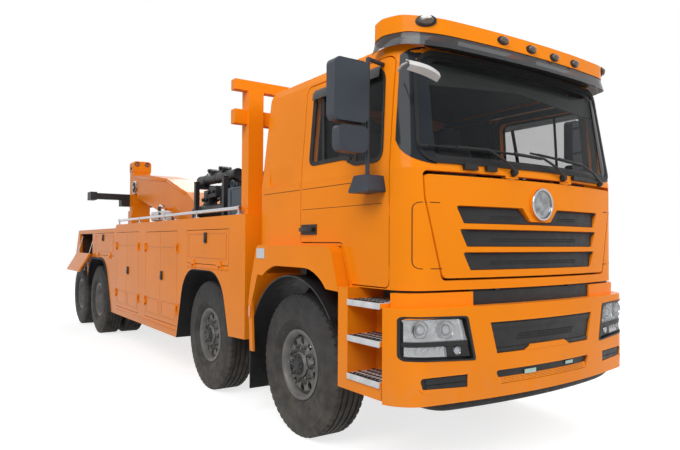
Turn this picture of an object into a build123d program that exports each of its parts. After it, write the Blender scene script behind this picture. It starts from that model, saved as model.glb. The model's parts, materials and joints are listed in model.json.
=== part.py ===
"""Heavy four-axle recovery truck: cab, locker body, boom, mast and underlift.

Millimetres, +X forward, +Y left, +Z up. All sizes below are taken from the
first axle; each piece is moved by AXLE1_X when it is written, so that the
truck's box is centred on the origin and its tyres stand on z = 0.
"""
import math
import os

from build123d import *

os.makedirs("parts", exist_ok=True)

# Overall layout
OVERALL_LENGTH = 10280.0
FRONT_OVERHANG = 1460.0
AXLE1_X = OVERALL_LENGTH / 2 - FRONT_OVERHANG
REAR_X = FRONT_OVERHANG - OVERALL_LENGTH
AXLE_X = (0.0, -1800.0, -6375.0, -7775.0)
BODY_HALF = 1245.0
FIT = 0.3
RUN_FIT = 0.08
MOVE_GAP = 6.0

# Tyres and wheels
TYRE_R = 555.0
TYRE_W = 312.0
BEAD_R = 256.0
BEAD_HALF = 112.0
FRONT_TRACK_HALF = 1018.0
TWIN_OUTER_Y = 1084.0
TWIN_SPACING = 346.0
RIM_WALL = 14.0
FLANGE_W = 10.0
FLANGE_R = 275.0
DISC_T = 16.0
HAND_HOLES = 10
HAND_HOLE_R = 27.0
HAND_HOLE_PITCH_R = 183.0
FRONT_HUB_R = 100.0
REAR_HUB_R = 118.0
SPINDLE_R = 45.0
AXLE_END_R = 60.0

# Steering
KINGPIN_Y = 905.0
KINGPIN_R = 24.0
BOSS_R = 58.0
BOSS_HALF = 70.0

# Frame
RAIL_Y = 430.0
RAIL_FLANGE = 80.0
RAIL_T = 10.0
RAIL_BOTTOM = 720.0
RAIL_TOP = 1020.0
FRAME_FRONT = 1150.0
FRAME_REAR = -8050.0

# Cab
CAB_HALF = 1150.0
CAB_TOP_HALF = 1088.0
CAB_REAR = -690.0
CAB_TOP_REAR = -640.0
CAB_FRONT = 1400.0
CAB_TOP_FRONT = 1285.0
CAB_BOW_DEG = 9.5
CAB_BOW_R = 5000.0
CAB_CORNER_R = 210.0
CAB_CROWN_R = 100.0
CAB_BOTTOM = 1215.0
CAB_STEP_Z = 1490.0
CAB_STEP_X = 590.0
CAB_STEP_FOOT = 700.0
CAB_WAIST = 1985.0
CAB_EAVE = 2755.0
CAB_ROOF = 2862.0
CAB_WALL = 60.0
GLASS_SET = 10.0
GLASS_T = 8.0

# Locker body
LOCKER_FRONT = -764.0
LOCKER_TOP = 1765.0
LOCKER_TOP_REAR = 1716.0
LOCKER_STEP_X = -5215.0
LOCKER_TAIL_TOP = -7910.0
LOCKER_TAIL_LOW = -8150.0
LOCKER_SKIRT = 440.0
LOCKER_INNER = 640.0
LOCKER_BACK = 36.0
DECK_Z = 1200.0
DECK_T = 20.0
DOOR_T = 28.0
HINGE_OUT = 12.0
HINGE_R = 9.0
HINGE_LEN = 56.0
HINGE_STRAP = 45.0

# Boom, mast and underlift
BOOM_PIVOT = (-4350.0, 1900.0)
BOOM_PIN_R = 50.0
BOOM_HALF = 290.0
BOOM_AXIS = (-7000.0, 2490.0)
BOOM_SLOPE_DEG = 9.0
BORE_HALF = 180.0
BORE_START = -5500.0
TUBE_HALF = 173.0
MAST_HALF = 170.0
MAST_FRONT = -8230.0
MAST_REAR = -8480.0
MAST_FOOT = 560.0
ARM_PIVOT = (-8600.0, 640.0)
ARM_HALF_X = 100.0
ARM_HALF_Y = 140.0
ARM_TOP = 2150.0
ARM_PIN_R = 40.0
SLIDER_HALF_X = 60.0
SLIDER_HALF_Y = 95.0
CROSSARM_HALF = 920.0
CROSSARM_Z = 2430.0
FORK_PIN_R = 16.0
FORK_PIN_X = REAR_X + 65.0

# Lift cylinders, from their foot pin to the pin on the boom
CYL_Y = 410.0
CYL_FOOT = (-4350.0, 1450.0)
CYL_HEAD = (-5650.0, 2050.0)
CYL_R = 60.0
CYL_ROD_R = 40.0
CYL_BARREL = 1120.0
CYL_PIN_R = 30.0
CYL_EYE_R = 78.0
CYL_HEAD_PIN_R = 25.0
CYL_HEAD_HOLE_R = 46.0


def put(name, shape):
    """Write one piece, moved from the first axle to the truck's middle."""
    export_step(Pos(AXLE1_X, 0, 0) * shape, "parts/" + name + ".step")


def outline(points):
    """Closed face from (u, v, corner radius) rows."""
    corners = [(u, v) for u, v, r in points]
    radii = [r for u, v, r in points]
    return make_face(FilletPolyline(*corners, radius=radii, close=True))


def prism_y(points, y0, y1):
    """Side-view outline (x, z, r) carried from y0 to y1."""
    plane = Plane(origin=(0, y1, 0), x_dir=(1, 0, 0), z_dir=(0, -1, 0))
    return extrude(plane * outline(points), amount=y1 - y0)


def prism_x(points, x0, x1):
    """Front-view outline (y, z, r) carried from x0 to x1."""
    plane = Plane(origin=(x0, 0, 0), x_dir=(0, 1, 0), z_dir=(1, 0, 0))
    return extrude(plane * outline(points), amount=x1 - x0)


def prism_z(points, z0, z1):
    """Plan outline (x, y, r) carried from z0 to z1."""
    plane = Plane(origin=(0, 0, z0), x_dir=(1, 0, 0), z_dir=(0, 0, 1))
    return extrude(plane * outline(points), amount=z1 - z0)


def block(x0, x1, y0, y1, z0, z1):
    """Box between two corners, in either order."""
    size = (abs(x1 - x0), abs(y1 - y0), abs(z1 - z0))
    return Pos((x0 + x1) / 2, (y0 + y1) / 2, (z0 + z1) / 2) * Box(*size)


def bar(start, end, radius):
    """Round bar between two points."""
    a = Vector(*start)
    b = Vector(*end)
    plane = Plane(origin=a, z_dir=(b - a))
    return plane * Pos(0, 0, (b - a).length / 2) * Cylinder(radius, (b - a).length)


def rod_y(x, z, radius, y0, y1):
    """Round bar along Y."""
    return bar((x, min(y0, y1), z), (x, max(y0, y1), z), radius)


def rod_z(x, y, radius, z0, z1):
    """Round bar along Z."""
    return bar((x, y, min(z0, z1)), (x, y, max(z0, z1)), radius)


def rod_x(y, z, radius, x0, x1):
    """Round bar along X."""
    return bar((min(x0, x1), y, z), (max(x0, x1), y, z), radius)


def flip(shape):
    """The same piece on the other side of the truck."""
    return shape.mirror(Plane.XZ)


def both(shape):
    """A piece and its mirror image."""
    return [shape, flip(shape)]


def joined(shapes):
    """All shapes fused into one."""
    total = shapes[0]
    for extra in shapes[1:]:
        total = total + extra
    return total


def lathe(points, x, y, z, side):
    """Ring section (radius, outward offset, r) turned about a wheel's axle."""
    plane = Plane(origin=(0, 0, 0), x_dir=(1, 0, 0), z_dir=(0, 0, 1))
    ring = revolve(plane * outline(points), axis=Axis.Y)
    if side < 0:
        ring = ring.mirror(Plane.XZ)
    return Pos(x, y, z) * ring


# Frame: two channel rails, cross members, hangers, trunnion seats, cab feet
rail_points = [
    (-RAIL_Y, RAIL_BOTTOM, 0),
    (-RAIL_Y + RAIL_FLANGE, RAIL_BOTTOM, 0),
    (-RAIL_Y + RAIL_FLANGE, RAIL_BOTTOM + RAIL_T, 0),
    (-RAIL_Y + RAIL_T, RAIL_BOTTOM + RAIL_T, 0),
    (-RAIL_Y + RAIL_T, RAIL_TOP - RAIL_T, 0),
    (-RAIL_Y + RAIL_FLANGE, RAIL_TOP - RAIL_T, 0),
    (-RAIL_Y + RAIL_FLANGE, RAIL_TOP, 0),
    (-RAIL_Y, RAIL_TOP, 0),
]
frame_side = prism_x(rail_points, FRAME_REAR, FRAME_FRONT)
CROSS_X = (1120.0, -1050.0, -2400.0, -3600.0, -4800.0, -5700.0, -7075.0)
CROSS_HALF = 30.0
CROSS_LOW = 770.0
CROSS_HIGH = 970.0
cross_y = RAIL_Y - RAIL_T - FIT
cross_members = []
for x in CROSS_X:
    cross_members.append(block(x - CROSS_HALF, x + CROSS_HALF, -cross_y, cross_y, CROSS_LOW, CROSS_HIGH))
SPRING_HALF_W = 42.0
SPRING_Y = 390.0
SPRING_HALF_L = 650.0
SPRING_EYE_Z = 700.0
HANGER_L = 80.0
for axle in AXLE_X[:2]:
    for way in (-1, 1):
        x0 = axle + way * (SPRING_HALF_L - HANGER_L)
        x1 = axle + way * SPRING_HALF_L
        frame_side += block(x0, x1, -SPRING_Y - 40, -SPRING_Y + SPRING_HALF_W, SPRING_EYE_Z, RAIL_BOTTOM + 2)
BOGIE_X = (AXLE_X[2] + AXLE_X[3]) / 2
BOGIE_SPRING_Y = (440.0, 530.0)
BOGIE_SEAT_Z = 700.0
frame_side += block(BOGIE_X - 150, BOGIE_X + 150, -BOGIE_SPRING_Y[1], -RAIL_Y + 60, BOGIE_SEAT_Z, RAIL_BOTTOM + 60)
CAB_FOOT_X = (1040.0, -560.0)
frame_side += block(CAB_FOOT_X[0] - 40, CAB_FOOT_X[0] + 40, -430, -360, RAIL_TOP - 1, CAB_BOTTOM)
frame_side += block(CAB_FOOT_X[1] - 40, CAB_FOOT_X[1] + 40, -430, -360, RAIL_TOP - 1, CAB_STEP_Z)
put("chassis_frame", Compound(both(frame_side) + cross_members))

# Engine and gearbox as one plain mass
ENGINE_HALF = 335.0
ENGINE_X = (-330.0, CROSS_X[0] - CROSS_HALF)
ENGINE_Z = (640.0, 1185.0)
GEARBOX_X = -900.0
SHAFT_Z = 640.0
engine = block(ENGINE_X[0], ENGINE_X[1], -ENGINE_HALF, ENGINE_HALF, ENGINE_Z[0], ENGINE_Z[1])
engine += block(GEARBOX_X, ENGINE_X[0] + 1, -220, 220, 575, 960)
put("engine_block", engine)

# Axles: two dropped front beams, two drive axles joined by their shafts
axles = []
for axle in AXLE_X[:2]:
    beam = block(axle - 55, axle + 55, -740, 740, 430, 530)
    pad = block(axle - 110, axle + 110, SPRING_Y - SPRING_HALF_W, SPRING_Y + SPRING_HALF_W, 500, 560)
    riser = block(axle - 50, axle + 50, 700, KINGPIN_Y, 492, 600)
    boss = rod_z(axle, KINGPIN_Y, BOSS_R, TYRE_R - BOSS_HALF, TYRE_R + BOSS_HALF)
    bore = rod_z(axle, KINGPIN_Y, KINGPIN_R + RUN_FIT, TYRE_R - 200, TYRE_R + 200)
    beam = joined([beam] + both(pad) + both(riser) + both(boss))
    for hole in both(bore):
        beam = beam - hole
    axles.append(beam)
drive = rod_x(0, SHAFT_Z, 48, AXLE_X[3], GEARBOX_X)
for axle in AXLE_X[2:]:
    drive += rod_y(axle, TYRE_R, 72, -830, 830)
    drive += rod_x(0, TYRE_R + 15, 205, axle - 150, axle + 150)
    for end in both(rod_y(axle, TYRE_R, AXLE_END_R, 820, 1030)):
        drive += end
    for pad in both(block(axle - 80, axle + 80, BOGIE_SPRING_Y[0], BOGIE_SPRING_Y[1], TYRE_R, 640)):
        drive += pad
axles.append(drive)
put("axles", Compound(axles))

# Leaf spring packs
springs = []
for axle in AXLE_X[:2]:
    pack = [
        (axle - SPRING_HALF_L, SPRING_EYE_Z, 0),
        (axle - SPRING_HALF_L, SPRING_EYE_Z - 26, 0),
        (axle - 260, 578, 60),
        (axle - 110, 560, 0),
        (axle + 110, 560, 0),
        (axle + 260, 578, 60),
        (axle + SPRING_HALF_L, SPRING_EYE_Z - 26, 0),
        (axle + SPRING_HALF_L, SPRING_EYE_Z, 0),
        (axle + SPRING_HALF_L - HANGER_L, SPRING_EYE_Z, 0),
        (axle + 250, 632, 60),
        (axle - 250, 632, 60),
        (axle - SPRING_HALF_L + HANGER_L, SPRING_EYE_Z, 0),
    ]
    springs += both(prism_y(pack, SPRING_Y - SPRING_HALF_W, SPRING_Y + SPRING_HALF_W))
bogie = [
    (AXLE_X[2] + 60, 640, 0),
    (AXLE_X[2] + 60, 664, 0),
    (BOGIE_X + 150, BOGIE_SEAT_Z, 0),
    (BOGIE_X - 150, BOGIE_SEAT_Z, 0),
    (AXLE_X[3] - 60, 664, 0),
    (AXLE_X[3] - 60, 640, 0),
    (AXLE_X[3] + 90, 640, 0),
    (BOGIE_X - 200, 590, 60),
    (BOGIE_X + 200, 590, 60),
    (AXLE_X[2] - 90, 640, 0),
]
springs += both(prism_y(bogie, BOGIE_SPRING_Y[0], BOGIE_SPRING_Y[1]))
put("leaf_springs", Compound(springs))

# Wheels
TYRE_SECTION = [
    (BEAD_R, -BEAD_HALF, 0),
    (BEAD_R + 20, -BEAD_HALF, 0),
    (345, -TYRE_W / 2, 40),
    (475, -TYRE_W / 2, 70),
    (TYRE_R, -122, 24),
    (TYRE_R, 122, 24),
    (475, TYRE_W / 2, 70),
    (345, TYRE_W / 2, 40),
    (BEAD_R + 20, BEAD_HALF, 0),
    (BEAD_R, BEAD_HALF, 0),
]
barrel_r = BEAD_R - FIT
flange_in = BEAD_HALF + FIT


def barrel(shift):
    """Rim barrel with its two flanges, centred at an offset along the axle."""
    return [
        (barrel_r - RIM_WALL, shift - flange_in - FLANGE_W, 0),
        (FLANGE_R, shift - flange_in - FLANGE_W, 4),
        (FLANGE_R, shift - flange_in, 0),
        (barrel_r, shift - flange_in, 0),
        (barrel_r, shift + flange_in, 0),
        (FLANGE_R, shift + flange_in, 0),
        (FLANGE_R, shift + flange_in + FLANGE_W, 4),
        (barrel_r - RIM_WALL, shift + flange_in + FLANGE_W, 0),
    ]


def front_wheel(x, side):
    """Steered wheel: tyre, and rim with an outset disc and hub."""
    y = side * FRONT_TRACK_HALF
    tyre = lathe(TYRE_SECTION, x, y, TYRE_R, side)
    rim = lathe(barrel(0), x, y, TYRE_R, side)
    disc = [
        (barrel_r - RIM_WALL + 2, 30, 0),
        (barrel_r - RIM_WALL + 2, 60, 0),
        (205, 88, 30),
        (FRONT_HUB_R - 4, 88, 0),
        (FRONT_HUB_R - 4, 88 - DISC_T, 0),
        (198, 88 - DISC_T, 20),
    ]
    rim += lathe(disc, x, y, TYRE_R, side)
    hub = [
        (SPINDLE_R + RUN_FIT, -10, 0),
        (FRONT_HUB_R + 20, -10, 0),
        (FRONT_HUB_R + 20, 20, 10),
        (FRONT_HUB_R, 30, 0),
        (FRONT_HUB_R, 118, 14),
        (SPINDLE_R + RUN_FIT, 118, 0),
    ]
    rim += lathe(hub, x, y, TYRE_R, side)
    rim += rod_y(x, TYRE_R, FRONT_HUB_R - 14, y + side * 112, y + side * 128)
    for n in range(HAND_HOLES):
        a = math.radians(360.0 * (n + 0.5) / HAND_HOLES)
        hx = x + HAND_HOLE_PITCH_R * math.cos(a)
        hz = TYRE_R + HAND_HOLE_PITCH_R * math.sin(a)
        rim = rim - rod_y(hx, hz, HAND_HOLE_R, y + side * 40, y + side * 120)
    return Compound([tyre, rim])


def twin_wheel(x, side):
    """Driven pair: two tyres on two rims bolted back to back."""
    y = side * TWIN_OUTER_Y
    middle = -TWIN_SPACING / 2
    outer = lathe(TYRE_SECTION, x, y, TYRE_R, side)
    inner = lathe(TYRE_SECTION, x, y - side * TWIN_SPACING, TYRE_R, side)
    rim = lathe(barrel(0), x, y, TYRE_R, side)
    rim += lathe(barrel(-TWIN_SPACING), x, y, TYRE_R, side)
    dish_r = barrel_r - RIM_WALL + 2
    dish = [
        (dish_r, -60, 0),
        (dish_r, -TWIN_SPACING + 60, 0),
        (dish_r - DISC_T, -TWIN_SPACING + 60, 0),
        (dish_r - DISC_T, middle - DISC_T, 16),
        (REAR_HUB_R - 4, middle - DISC_T, 0),
        (REAR_HUB_R - 4, middle + DISC_T, 0),
        (dish_r - DISC_T, middle + DISC_T, 16),
        (dish_r - DISC_T, -60, 0),
    ]
    rim += lathe(dish, x, y, TYRE_R, side)
    hub = [
        (AXLE_END_R + RUN_FIT, -235, 0),
        (REAR_HUB_R, -235, 0),
        (REAR_HUB_R, -40, 12),
        (AXLE_END_R + RUN_FIT, -40, 0),
    ]
    rim += lathe(hub, x, y, TYRE_R, side)
    rim += rod_y(x, TYRE_R, REAR_HUB_R - 16, y - side * 46, y - side * 22)
    for n in range(HAND_HOLES):
        a = math.radians(360.0 * (n + 0.5) / HAND_HOLES)
        hx = x + HAND_HOLE_PITCH_R * math.cos(a)
        hz = TYRE_R + HAND_HOLE_PITCH_R * math.sin(a)
        rim = rim - rod_y(hx, hz, HAND_HOLE_R, y - side * 100, y - side * 250)
    return Compound([outer, inner, rim])


def knuckle(x, side):
    """Steering knuckle: fork, kingpin, spindle and steering arm."""
    pin = rod_z(x, KINGPIN_Y, KINGPIN_R, TYRE_R - BOSS_HALF - 34, TYRE_R + BOSS_HALF + 34)
    body = pin
    for way in (-1, 1):
        z0 = TYRE_R + way * (BOSS_HALF + MOVE_GAP)
        z1 = TYRE_R + way * (BOSS_HALF + 32)
        body += block(x - 45, x + 45, KINGPIN_Y - 40, KINGPIN_Y + BOSS_R + 32, z0, z1)
    back = KINGPIN_Y + BOSS_R + MOVE_GAP
    body += block(x - 60, x + 60, back, back + 26, TYRE_R - BOSS_HALF - 32, TYRE_R + BOSS_HALF + 32)
    body += rod_y(x, TYRE_R, SPINDLE_R, back + 20, FRONT_TRACK_HALF + 106)
    if side < 0:
        body = flip(body)
    return body


AXLE_TAGS = ("axle1", "axle2", "axle3", "axle4")
SIDES = (("right", -1), ("left", 1))
for tag, x in zip(AXLE_TAGS, AXLE_X):
    for word, side in SIDES:
        if tag in AXLE_TAGS[:2]:
            put("knuckle_" + tag + "_" + word, knuckle(x, side))
            put("wheel_" + tag + "_" + word, front_wheel(x, side))
        else:
            put("wheel_" + tag + "_" + word, twin_wheel(x, side))


# Cab body: bowed front, leaning glass band, rounded roof edge
def cab_plan(half, rear, front, inset, corner_r):
    """Plan outline with a bowed front and rounded corners."""
    bow = math.radians(CAB_BOW_DEG)
    edge = half - inset
    corner_run = corner_r * math.tan((math.pi / 2 - bow) / 2)
    bow_r = min(CAB_BOW_R, (edge / math.cos(bow) - corner_run - 1) / math.tan(bow))
    peak = front - inset + bow_r * (1 / math.cos(bow) - 1)
    shoulder = peak - edge * math.tan(bow)
    return [
        (rear + inset, -edge, 70),
        (shoulder, -edge, corner_r),
        (peak, 0, bow_r),
        (shoulder, edge, corner_r),
        (rear + inset, edge, 70),
    ]


def section(points, z):
    """Plan outline placed at a height."""
    return Pos(0, 0, z) * outline(points)


def cab_solid(inset):
    """Cab volume drawn in from its outer skin by an inset."""
    low = cab_plan(CAB_HALF, CAB_REAR, CAB_FRONT, inset, CAB_CORNER_R - inset)
    eave = cab_plan(CAB_TOP_HALF, CAB_TOP_REAR, CAB_TOP_FRONT, inset, CAB_CORNER_R - inset)
    knee = cab_plan(CAB_TOP_HALF - 22, CAB_TOP_REAR + 20, CAB_TOP_FRONT - 40, inset, CAB_CORNER_R - inset)
    crown = cab_plan(CAB_TOP_HALF - 110, CAB_TOP_REAR + 100, CAB_TOP_FRONT - 150, inset, CAB_CROWN_R - inset)
    body = prism_z(low, CAB_BOTTOM + inset, CAB_WAIST)
    body += loft([section(low, CAB_WAIST), section(eave, CAB_EAVE)], ruled=True)
    body += loft([section(eave, CAB_EAVE), section(knee, CAB_EAVE + 60)], ruled=True)
    body += loft([section(knee, CAB_EAVE + 60), section(crown, CAB_ROOF - inset)], ruled=True)
    step = [
        (CAB_REAR - 200, CAB_BOTTOM - 200, 0),
        (CAB_REAR - 200, CAB_STEP_Z + inset, 0),
        (CAB_STEP_X + inset * 0.6, CAB_STEP_Z + inset, 0),
        (CAB_STEP_FOOT + inset, CAB_BOTTOM + inset, 0),
        (CAB_STEP_FOOT + inset, CAB_BOTTOM - 200, 0),
    ]
    return body - prism_y(step, -1400, 1400)


cab_outer = cab_solid(0)
cab_wall = cab_outer - cab_solid(CAB_WALL)
cab_glass = cab_solid(GLASS_SET) - cab_solid(GLASS_SET + GLASS_T)

DOOR_GAP = 8.0
DOOR_FRONT = 1120.0
DOOR_REAR = 32.0
DOOR_OUTLINE = [
    (DOOR_REAR, 1512, 20),
    (DOOR_REAR, 2735, 60),
    (1092, 2735, 60),
    (DOOR_FRONT, 1985, 0),
    (DOOR_FRONT, 1225, 40),
    (712, 1225, 20),
    (600, 1512, 40),
]
WINDOW_OUTLINE = [
    (150, 2108, 60),
    (152, 2676, 70),
    (1010, 2664, 90),
    (1040, 2050, 80),
    (720, 2050, 60),
    (640, 2108, 60),
]
HINGE_PIN_R = 3.6
door_axis = (DOOR_FRONT, -CAB_HALF)
door_in = CAB_HALF - CAB_WALL
sill_top = CAB_STEP_Z + CAB_WALL
DOOR_HINGE_Z = (1320.0, 1720.0)


def grown(points, amount):
    """Outline moved outward by an amount."""
    return offset(outline(points), amount=amount, kind=Kind.INTERSECTION)


def side_cut(points, amount, y0, y1):
    """Side-view cut, grown or shrunk, between two depths."""
    plane = Plane(origin=(0, y1, 0), x_dir=(1, 0, 0), z_dir=(0, -1, 0))
    return extrude(plane * grown(points, amount), amount=y1 - y0)


LID_GAP = 24.0
LID_SIDE_GAP = 12.0
LID_LOW_GAP = 15.0
LID_TOP = 1945.0
LID_HALF = (1012.0, 1001.0, 874.0)
LID_BEND_Z = 1790.0
lid_low = CAB_BOTTOM + CAB_WALL + LID_LOW_GAP


def lid_outline(side, top, low):
    """Front lid outline, grown at its sides, its top and its lower edge."""
    return [
        (-LID_HALF[0] - side, LID_TOP + top, 30),
        (LID_HALF[0] + side, LID_TOP + top, 30),
        (LID_HALF[1] + side, LID_BEND_Z, 200),
        (LID_HALF[2] + side, lid_low - low, 40),
        (-LID_HALF[2] - side, lid_low - low, 40),
        (-LID_HALF[1] - side, LID_BEND_Z, 200),
    ]


lid_axis = (1392.0, LID_TOP + LID_GAP / 2)
LID_HINGE_Y = 300.0
SCREEN_BACK = 1135.0
WINDSCREEN = [
    (-1035, 2035, 90),
    (-985, 2748, 110),
    (985, 2748, 110),
    (1035, 2035, 90),
]

shell = cab_wall
doorway = side_cut(DOOR_OUTLINE, DOOR_GAP / 2, -1400, -800)
doorway = doorway - block(-200, 1400, -door_in + MOVE_GAP, -700, CAB_BOTTOM - 10, sill_top)
for cut in both(doorway):
    shell = shell - cut
glass_hole = prism_x(WINDSCREEN, SCREEN_BACK, 1700)
shell = shell - glass_hole
shell = shell - prism_x(lid_outline(LID_SIDE_GAP, LID_GAP, LID_LOW_GAP), 1150, 1700)
SLEEPER_PANEL = [(-500, 1980, 60), (-480, 2640, 60), (-110, 2640, 60), (-110, 1980, 60)]
for panel in both(prism_y(SLEEPER_PANEL, -1400, -1137)):
    shell = shell - panel


def hinge_stack(z):
    """Door hinge: outer barrels for the pillar and the middle one for the door."""
    x, y = door_axis
    reach = DOOR_GAP / 2 + 4
    fixed = []
    for way in (-1, 1):
        z0 = z + way * 20.4
        z1 = z + way * 40
        fixed.append(rod_z(x, y, HINGE_PIN_R, z0, z1))
        fixed.append(block(x, x + reach, y - 1.6, y + 5, z0, z1))
    moving = rod_z(x, y, HINGE_PIN_R, z - 20, z + 20)
    moving += block(x - reach, x, y - 1.6, y + 5, z - 20, z + 20)
    return joined(fixed), moving


door_moving = []
for z in DOOR_HINGE_Z:
    fixed, moving = hinge_stack(z)
    door_moving.append(moving)
    for side_piece in both(fixed):
        shell = shell + side_piece
lid_moving = []
for y in (-LID_HINGE_Y, LID_HINGE_Y):
    x, z = lid_axis
    for way in (-1, 1):
        shell += rod_y(x, z, 8, y + way * 30.4, y + way * 60)
        shell += block(x - 6, x + 2, y + way * 30.4, y + way * 60, z, z + LID_GAP / 2 + 4)
    lid_moving.append(rod_y(x, z, 8, y - 30, y + 30))
    lid_moving.append(block(x - 6, x + 2, y - 30, y + 30, z - LID_GAP / 2 - 4, z))
put("cab_shell", shell)

door = cab_wall & side_cut(DOOR_OUTLINE, -DOOR_GAP / 2, -1400, -800)
door = door - block(-200, 1400, -door_in, -700, CAB_BOTTOM - 10, sill_top + 5)
door = door - prism_y(WINDOW_OUTLINE, -1400, -800)
door = joined([door] + door_moving)
put("cab_door_right", door)
put("cab_door_left", flip(door))
pane = cab_glass & side_cut(WINDOW_OUTLINE, -FIT, -1400, -800)
put("door_glass_right", pane)
put("door_glass_left", flip(pane))
screen = cab_glass & prism_x(
    [(y - math.copysign(FIT, y), z - math.copysign(FIT, z - 2400), r) for y, z, r in WINDSCREEN], SCREEN_BACK, 1700
)
put("windscreen", screen)

# Front lid with three grille recesses and a bare round badge seat
SLOT_ROWS = (
    # top z, bottom z, half width at top, half width at bottom
    (1755.0, 1640.0, 778.0, 716.0),
    (1605.0, 1490.0, 750.0, 690.0),
    (1455.0, 1338.0, 723.0, 663.0),
)
SLOT_DEPTH = 36.0
NOTCH_HALF = (190.0, 110.0)
NOTCH_DROP = 92.0
BADGE_R = 115.0
BADGE_Z = 1787.0
lid = cab_wall & prism_x(lid_outline(0, 0, 0), 1150, 1700)
slot_floor = cab_solid(SLOT_DEPTH)
for row, (top, low, half_top, half_low) in enumerate(SLOT_ROWS):
    points = [(-half_top, top, 14), (half_top, top, 14), (half_low, low, 14), (-half_low, low, 14)]
    if row == 0:
        points = [
            (-half_top, top, 14),
            (-NOTCH_HALF[0], top, 10),
            (-NOTCH_HALF[1], top - NOTCH_DROP, 20),
            (NOTCH_HALF[1], top - NOTCH_DROP, 20),
            (NOTCH_HALF[0], top, 10),
            (half_top, top, 14),
            (half_low, low, 14),
            (-half_low, low, 14),
        ]
    lid = lid - (prism_x(points, 1150, 1700) - slot_floor)
lid = joined([lid] + lid_moving)
badge = bar((CAB_FRONT - 30, 0, BADGE_Z), (CAB_FRONT + 12, 0, BADGE_Z), BADGE_R)
lid = lid + badge
put("front_lid", lid)

# Cab inside: instrument panel, steering wheel, two seats and a bunk
floor_low = CAB_BOTTOM + CAB_WALL
floor_high = CAB_STEP_Z + CAB_WALL
fascia = [
    (760, floor_low, 0),
    (1215, floor_low, 0),
    (1215, 1880, 60),
    (1050, 1930, 60),
    (930, 1820, 40),
    (980, 1560, 30),
    (1080, 1400, 30),
]
panel = prism_y(fascia, -860, 860)
panel += bar((1010, 520, 1690), (790, 520, 1915), 32)
wheel_plane = Plane(origin=(790, 520, 1915), z_dir=(-0.70, 0, 0.71))
panel += wheel_plane * Torus(225, 16)
panel += wheel_plane * Cylinder(60, 24)
panel += wheel_plane * Box(440, 34, 14)
inside = [panel]
seat = block(60, 560, 260, 780, floor_high, 1880)
seat += prism_y([(40, 1860, 30), (190, 1860, 30), (60, 2420, 50), (-60, 2420, 50)], 280, 760)
seat += prism_y([(50, 2400, 20), (-50, 2400, 20), (-90, 2600, 40), (10, 2600, 40)], 400, 640)
inside += both(seat)
inside.append(block(-610, -180, -1030, 1030, floor_high, 1850))
put("cab_interior", Compound(inside))

# Sun visor over the windscreen
VISOR_LOW = 2820.0
VISOR_TOP = 2984.0
VISOR_FRONT = 1405.0
VISOR_HALF = 1120.0
VISOR_BACK = 880.0
VISOR_WALL = 90.0
VISOR_CORNER_R = 380.0
visor_out = cab_plan(VISOR_HALF, VISOR_BACK, VISOR_FRONT, 0, VISOR_CORNER_R)
visor_in = cab_plan(VISOR_HALF, VISOR_BACK - 2 * VISOR_WALL, VISOR_FRONT, VISOR_WALL, VISOR_CORNER_R - VISOR_WALL)
visor = prism_z(visor_out, VISOR_LOW - 20, VISOR_TOP) - prism_z(visor_in, VISOR_LOW - 30, VISOR_TOP + 10)
lean = [
    (800, VISOR_LOW, 0),
    (1000, VISOR_LOW + 52, 150),
    (1180, VISOR_LOW + 48, 200),
    (1500, VISOR_LOW - 12, 0),
    (1500, VISOR_TOP - 90, 0),
    (1390, VISOR_TOP - 58, 50),
    (1150, VISOR_TOP - 4, 200),
    (1000, VISOR_TOP, 100),
    (800, VISOR_TOP - 54, 0),
]
visor = visor & prism_y(lean, -1300, 1300)
for y in (-740.0, 0.0, 740.0):
    visor += block(1080, VISOR_FRONT - 70 - y * y / 10000, y - 40, y + 40, VISOR_LOW - 20, VISOR_LOW + 85)
visor = visor - cab_outer
put("sun_visor", visor)

# Mirrors carried on the doors
MIRROR_X = 1030.0
MIRROR_Y = (-1545.0, -1285.0)
MIRROR_Z = (2262.0, 2650.0)
SMALL_MIRROR_Z = (2075.0, 2240.0)
STALK_Y = -1255.0
STALK_R = 14.0
head = prism_x(
    [
        (MIRROR_Y[0], MIRROR_Z[0], 45),
        (MIRROR_Y[0], MIRROR_Z[1], 45),
        (MIRROR_Y[1], MIRROR_Z[1], 45),
        (MIRROR_Y[1], MIRROR_Z[0], 45),
    ],
    MIRROR_X - 40,
    MIRROR_X + 50,
)
small = prism_x(
    [
        (MIRROR_Y[0] + 40, SMALL_MIRROR_Z[0], 45),
        (MIRROR_Y[0] + 40, SMALL_MIRROR_Z[1], 35),
        (MIRROR_Y[1], SMALL_MIRROR_Z[1], 35),
        (MIRROR_Y[1], SMALL_MIRROR_Z[0], 45),
    ],
    MIRROR_X - 35,
    MIRROR_X + 45,
)
mirror_stand = rod_z(MIRROR_X, STALK_Y, STALK_R, 1905, 2690)
mirror_stand += bar((MIRROR_X, STALK_Y, 2690), (MIRROR_X - 50, -1060, 2690), STALK_R)
ARM_Z = (2170.0, 2340.0, 2570.0)
ARM_R = 10.0
mirror_heads = head + small
mirror_right = mirror_heads
for z in ARM_Z:
    mirror_right += rod_y(MIRROR_X, z, ARM_R, STALK_Y, MIRROR_Y[1] - 20)
foot = [(860, 1835, 12), (1090, 1835, 12), (1065, 1945, 12), (930, 1945, 12)]
mirror_stand += prism_y(foot, -1290, -1100)
mirror_stand = mirror_stand - cab_outer
put("mirror_right", mirror_stand + mirror_right)
# The left heads stand further back, on arms swept along the door's glass
MIRROR_SWEEP = 290.0
mirror_left = Pos(-MIRROR_SWEEP, 0, 0) * flip(mirror_heads)
for z in ARM_Z:
    mirror_left += bar((MIRROR_X, -STALK_Y, z), (MIRROR_X - MIRROR_SWEEP, -MIRROR_Y[1] + 30, z), ARM_R)
put("mirror_left", flip(mirror_stand) + mirror_left)

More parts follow.
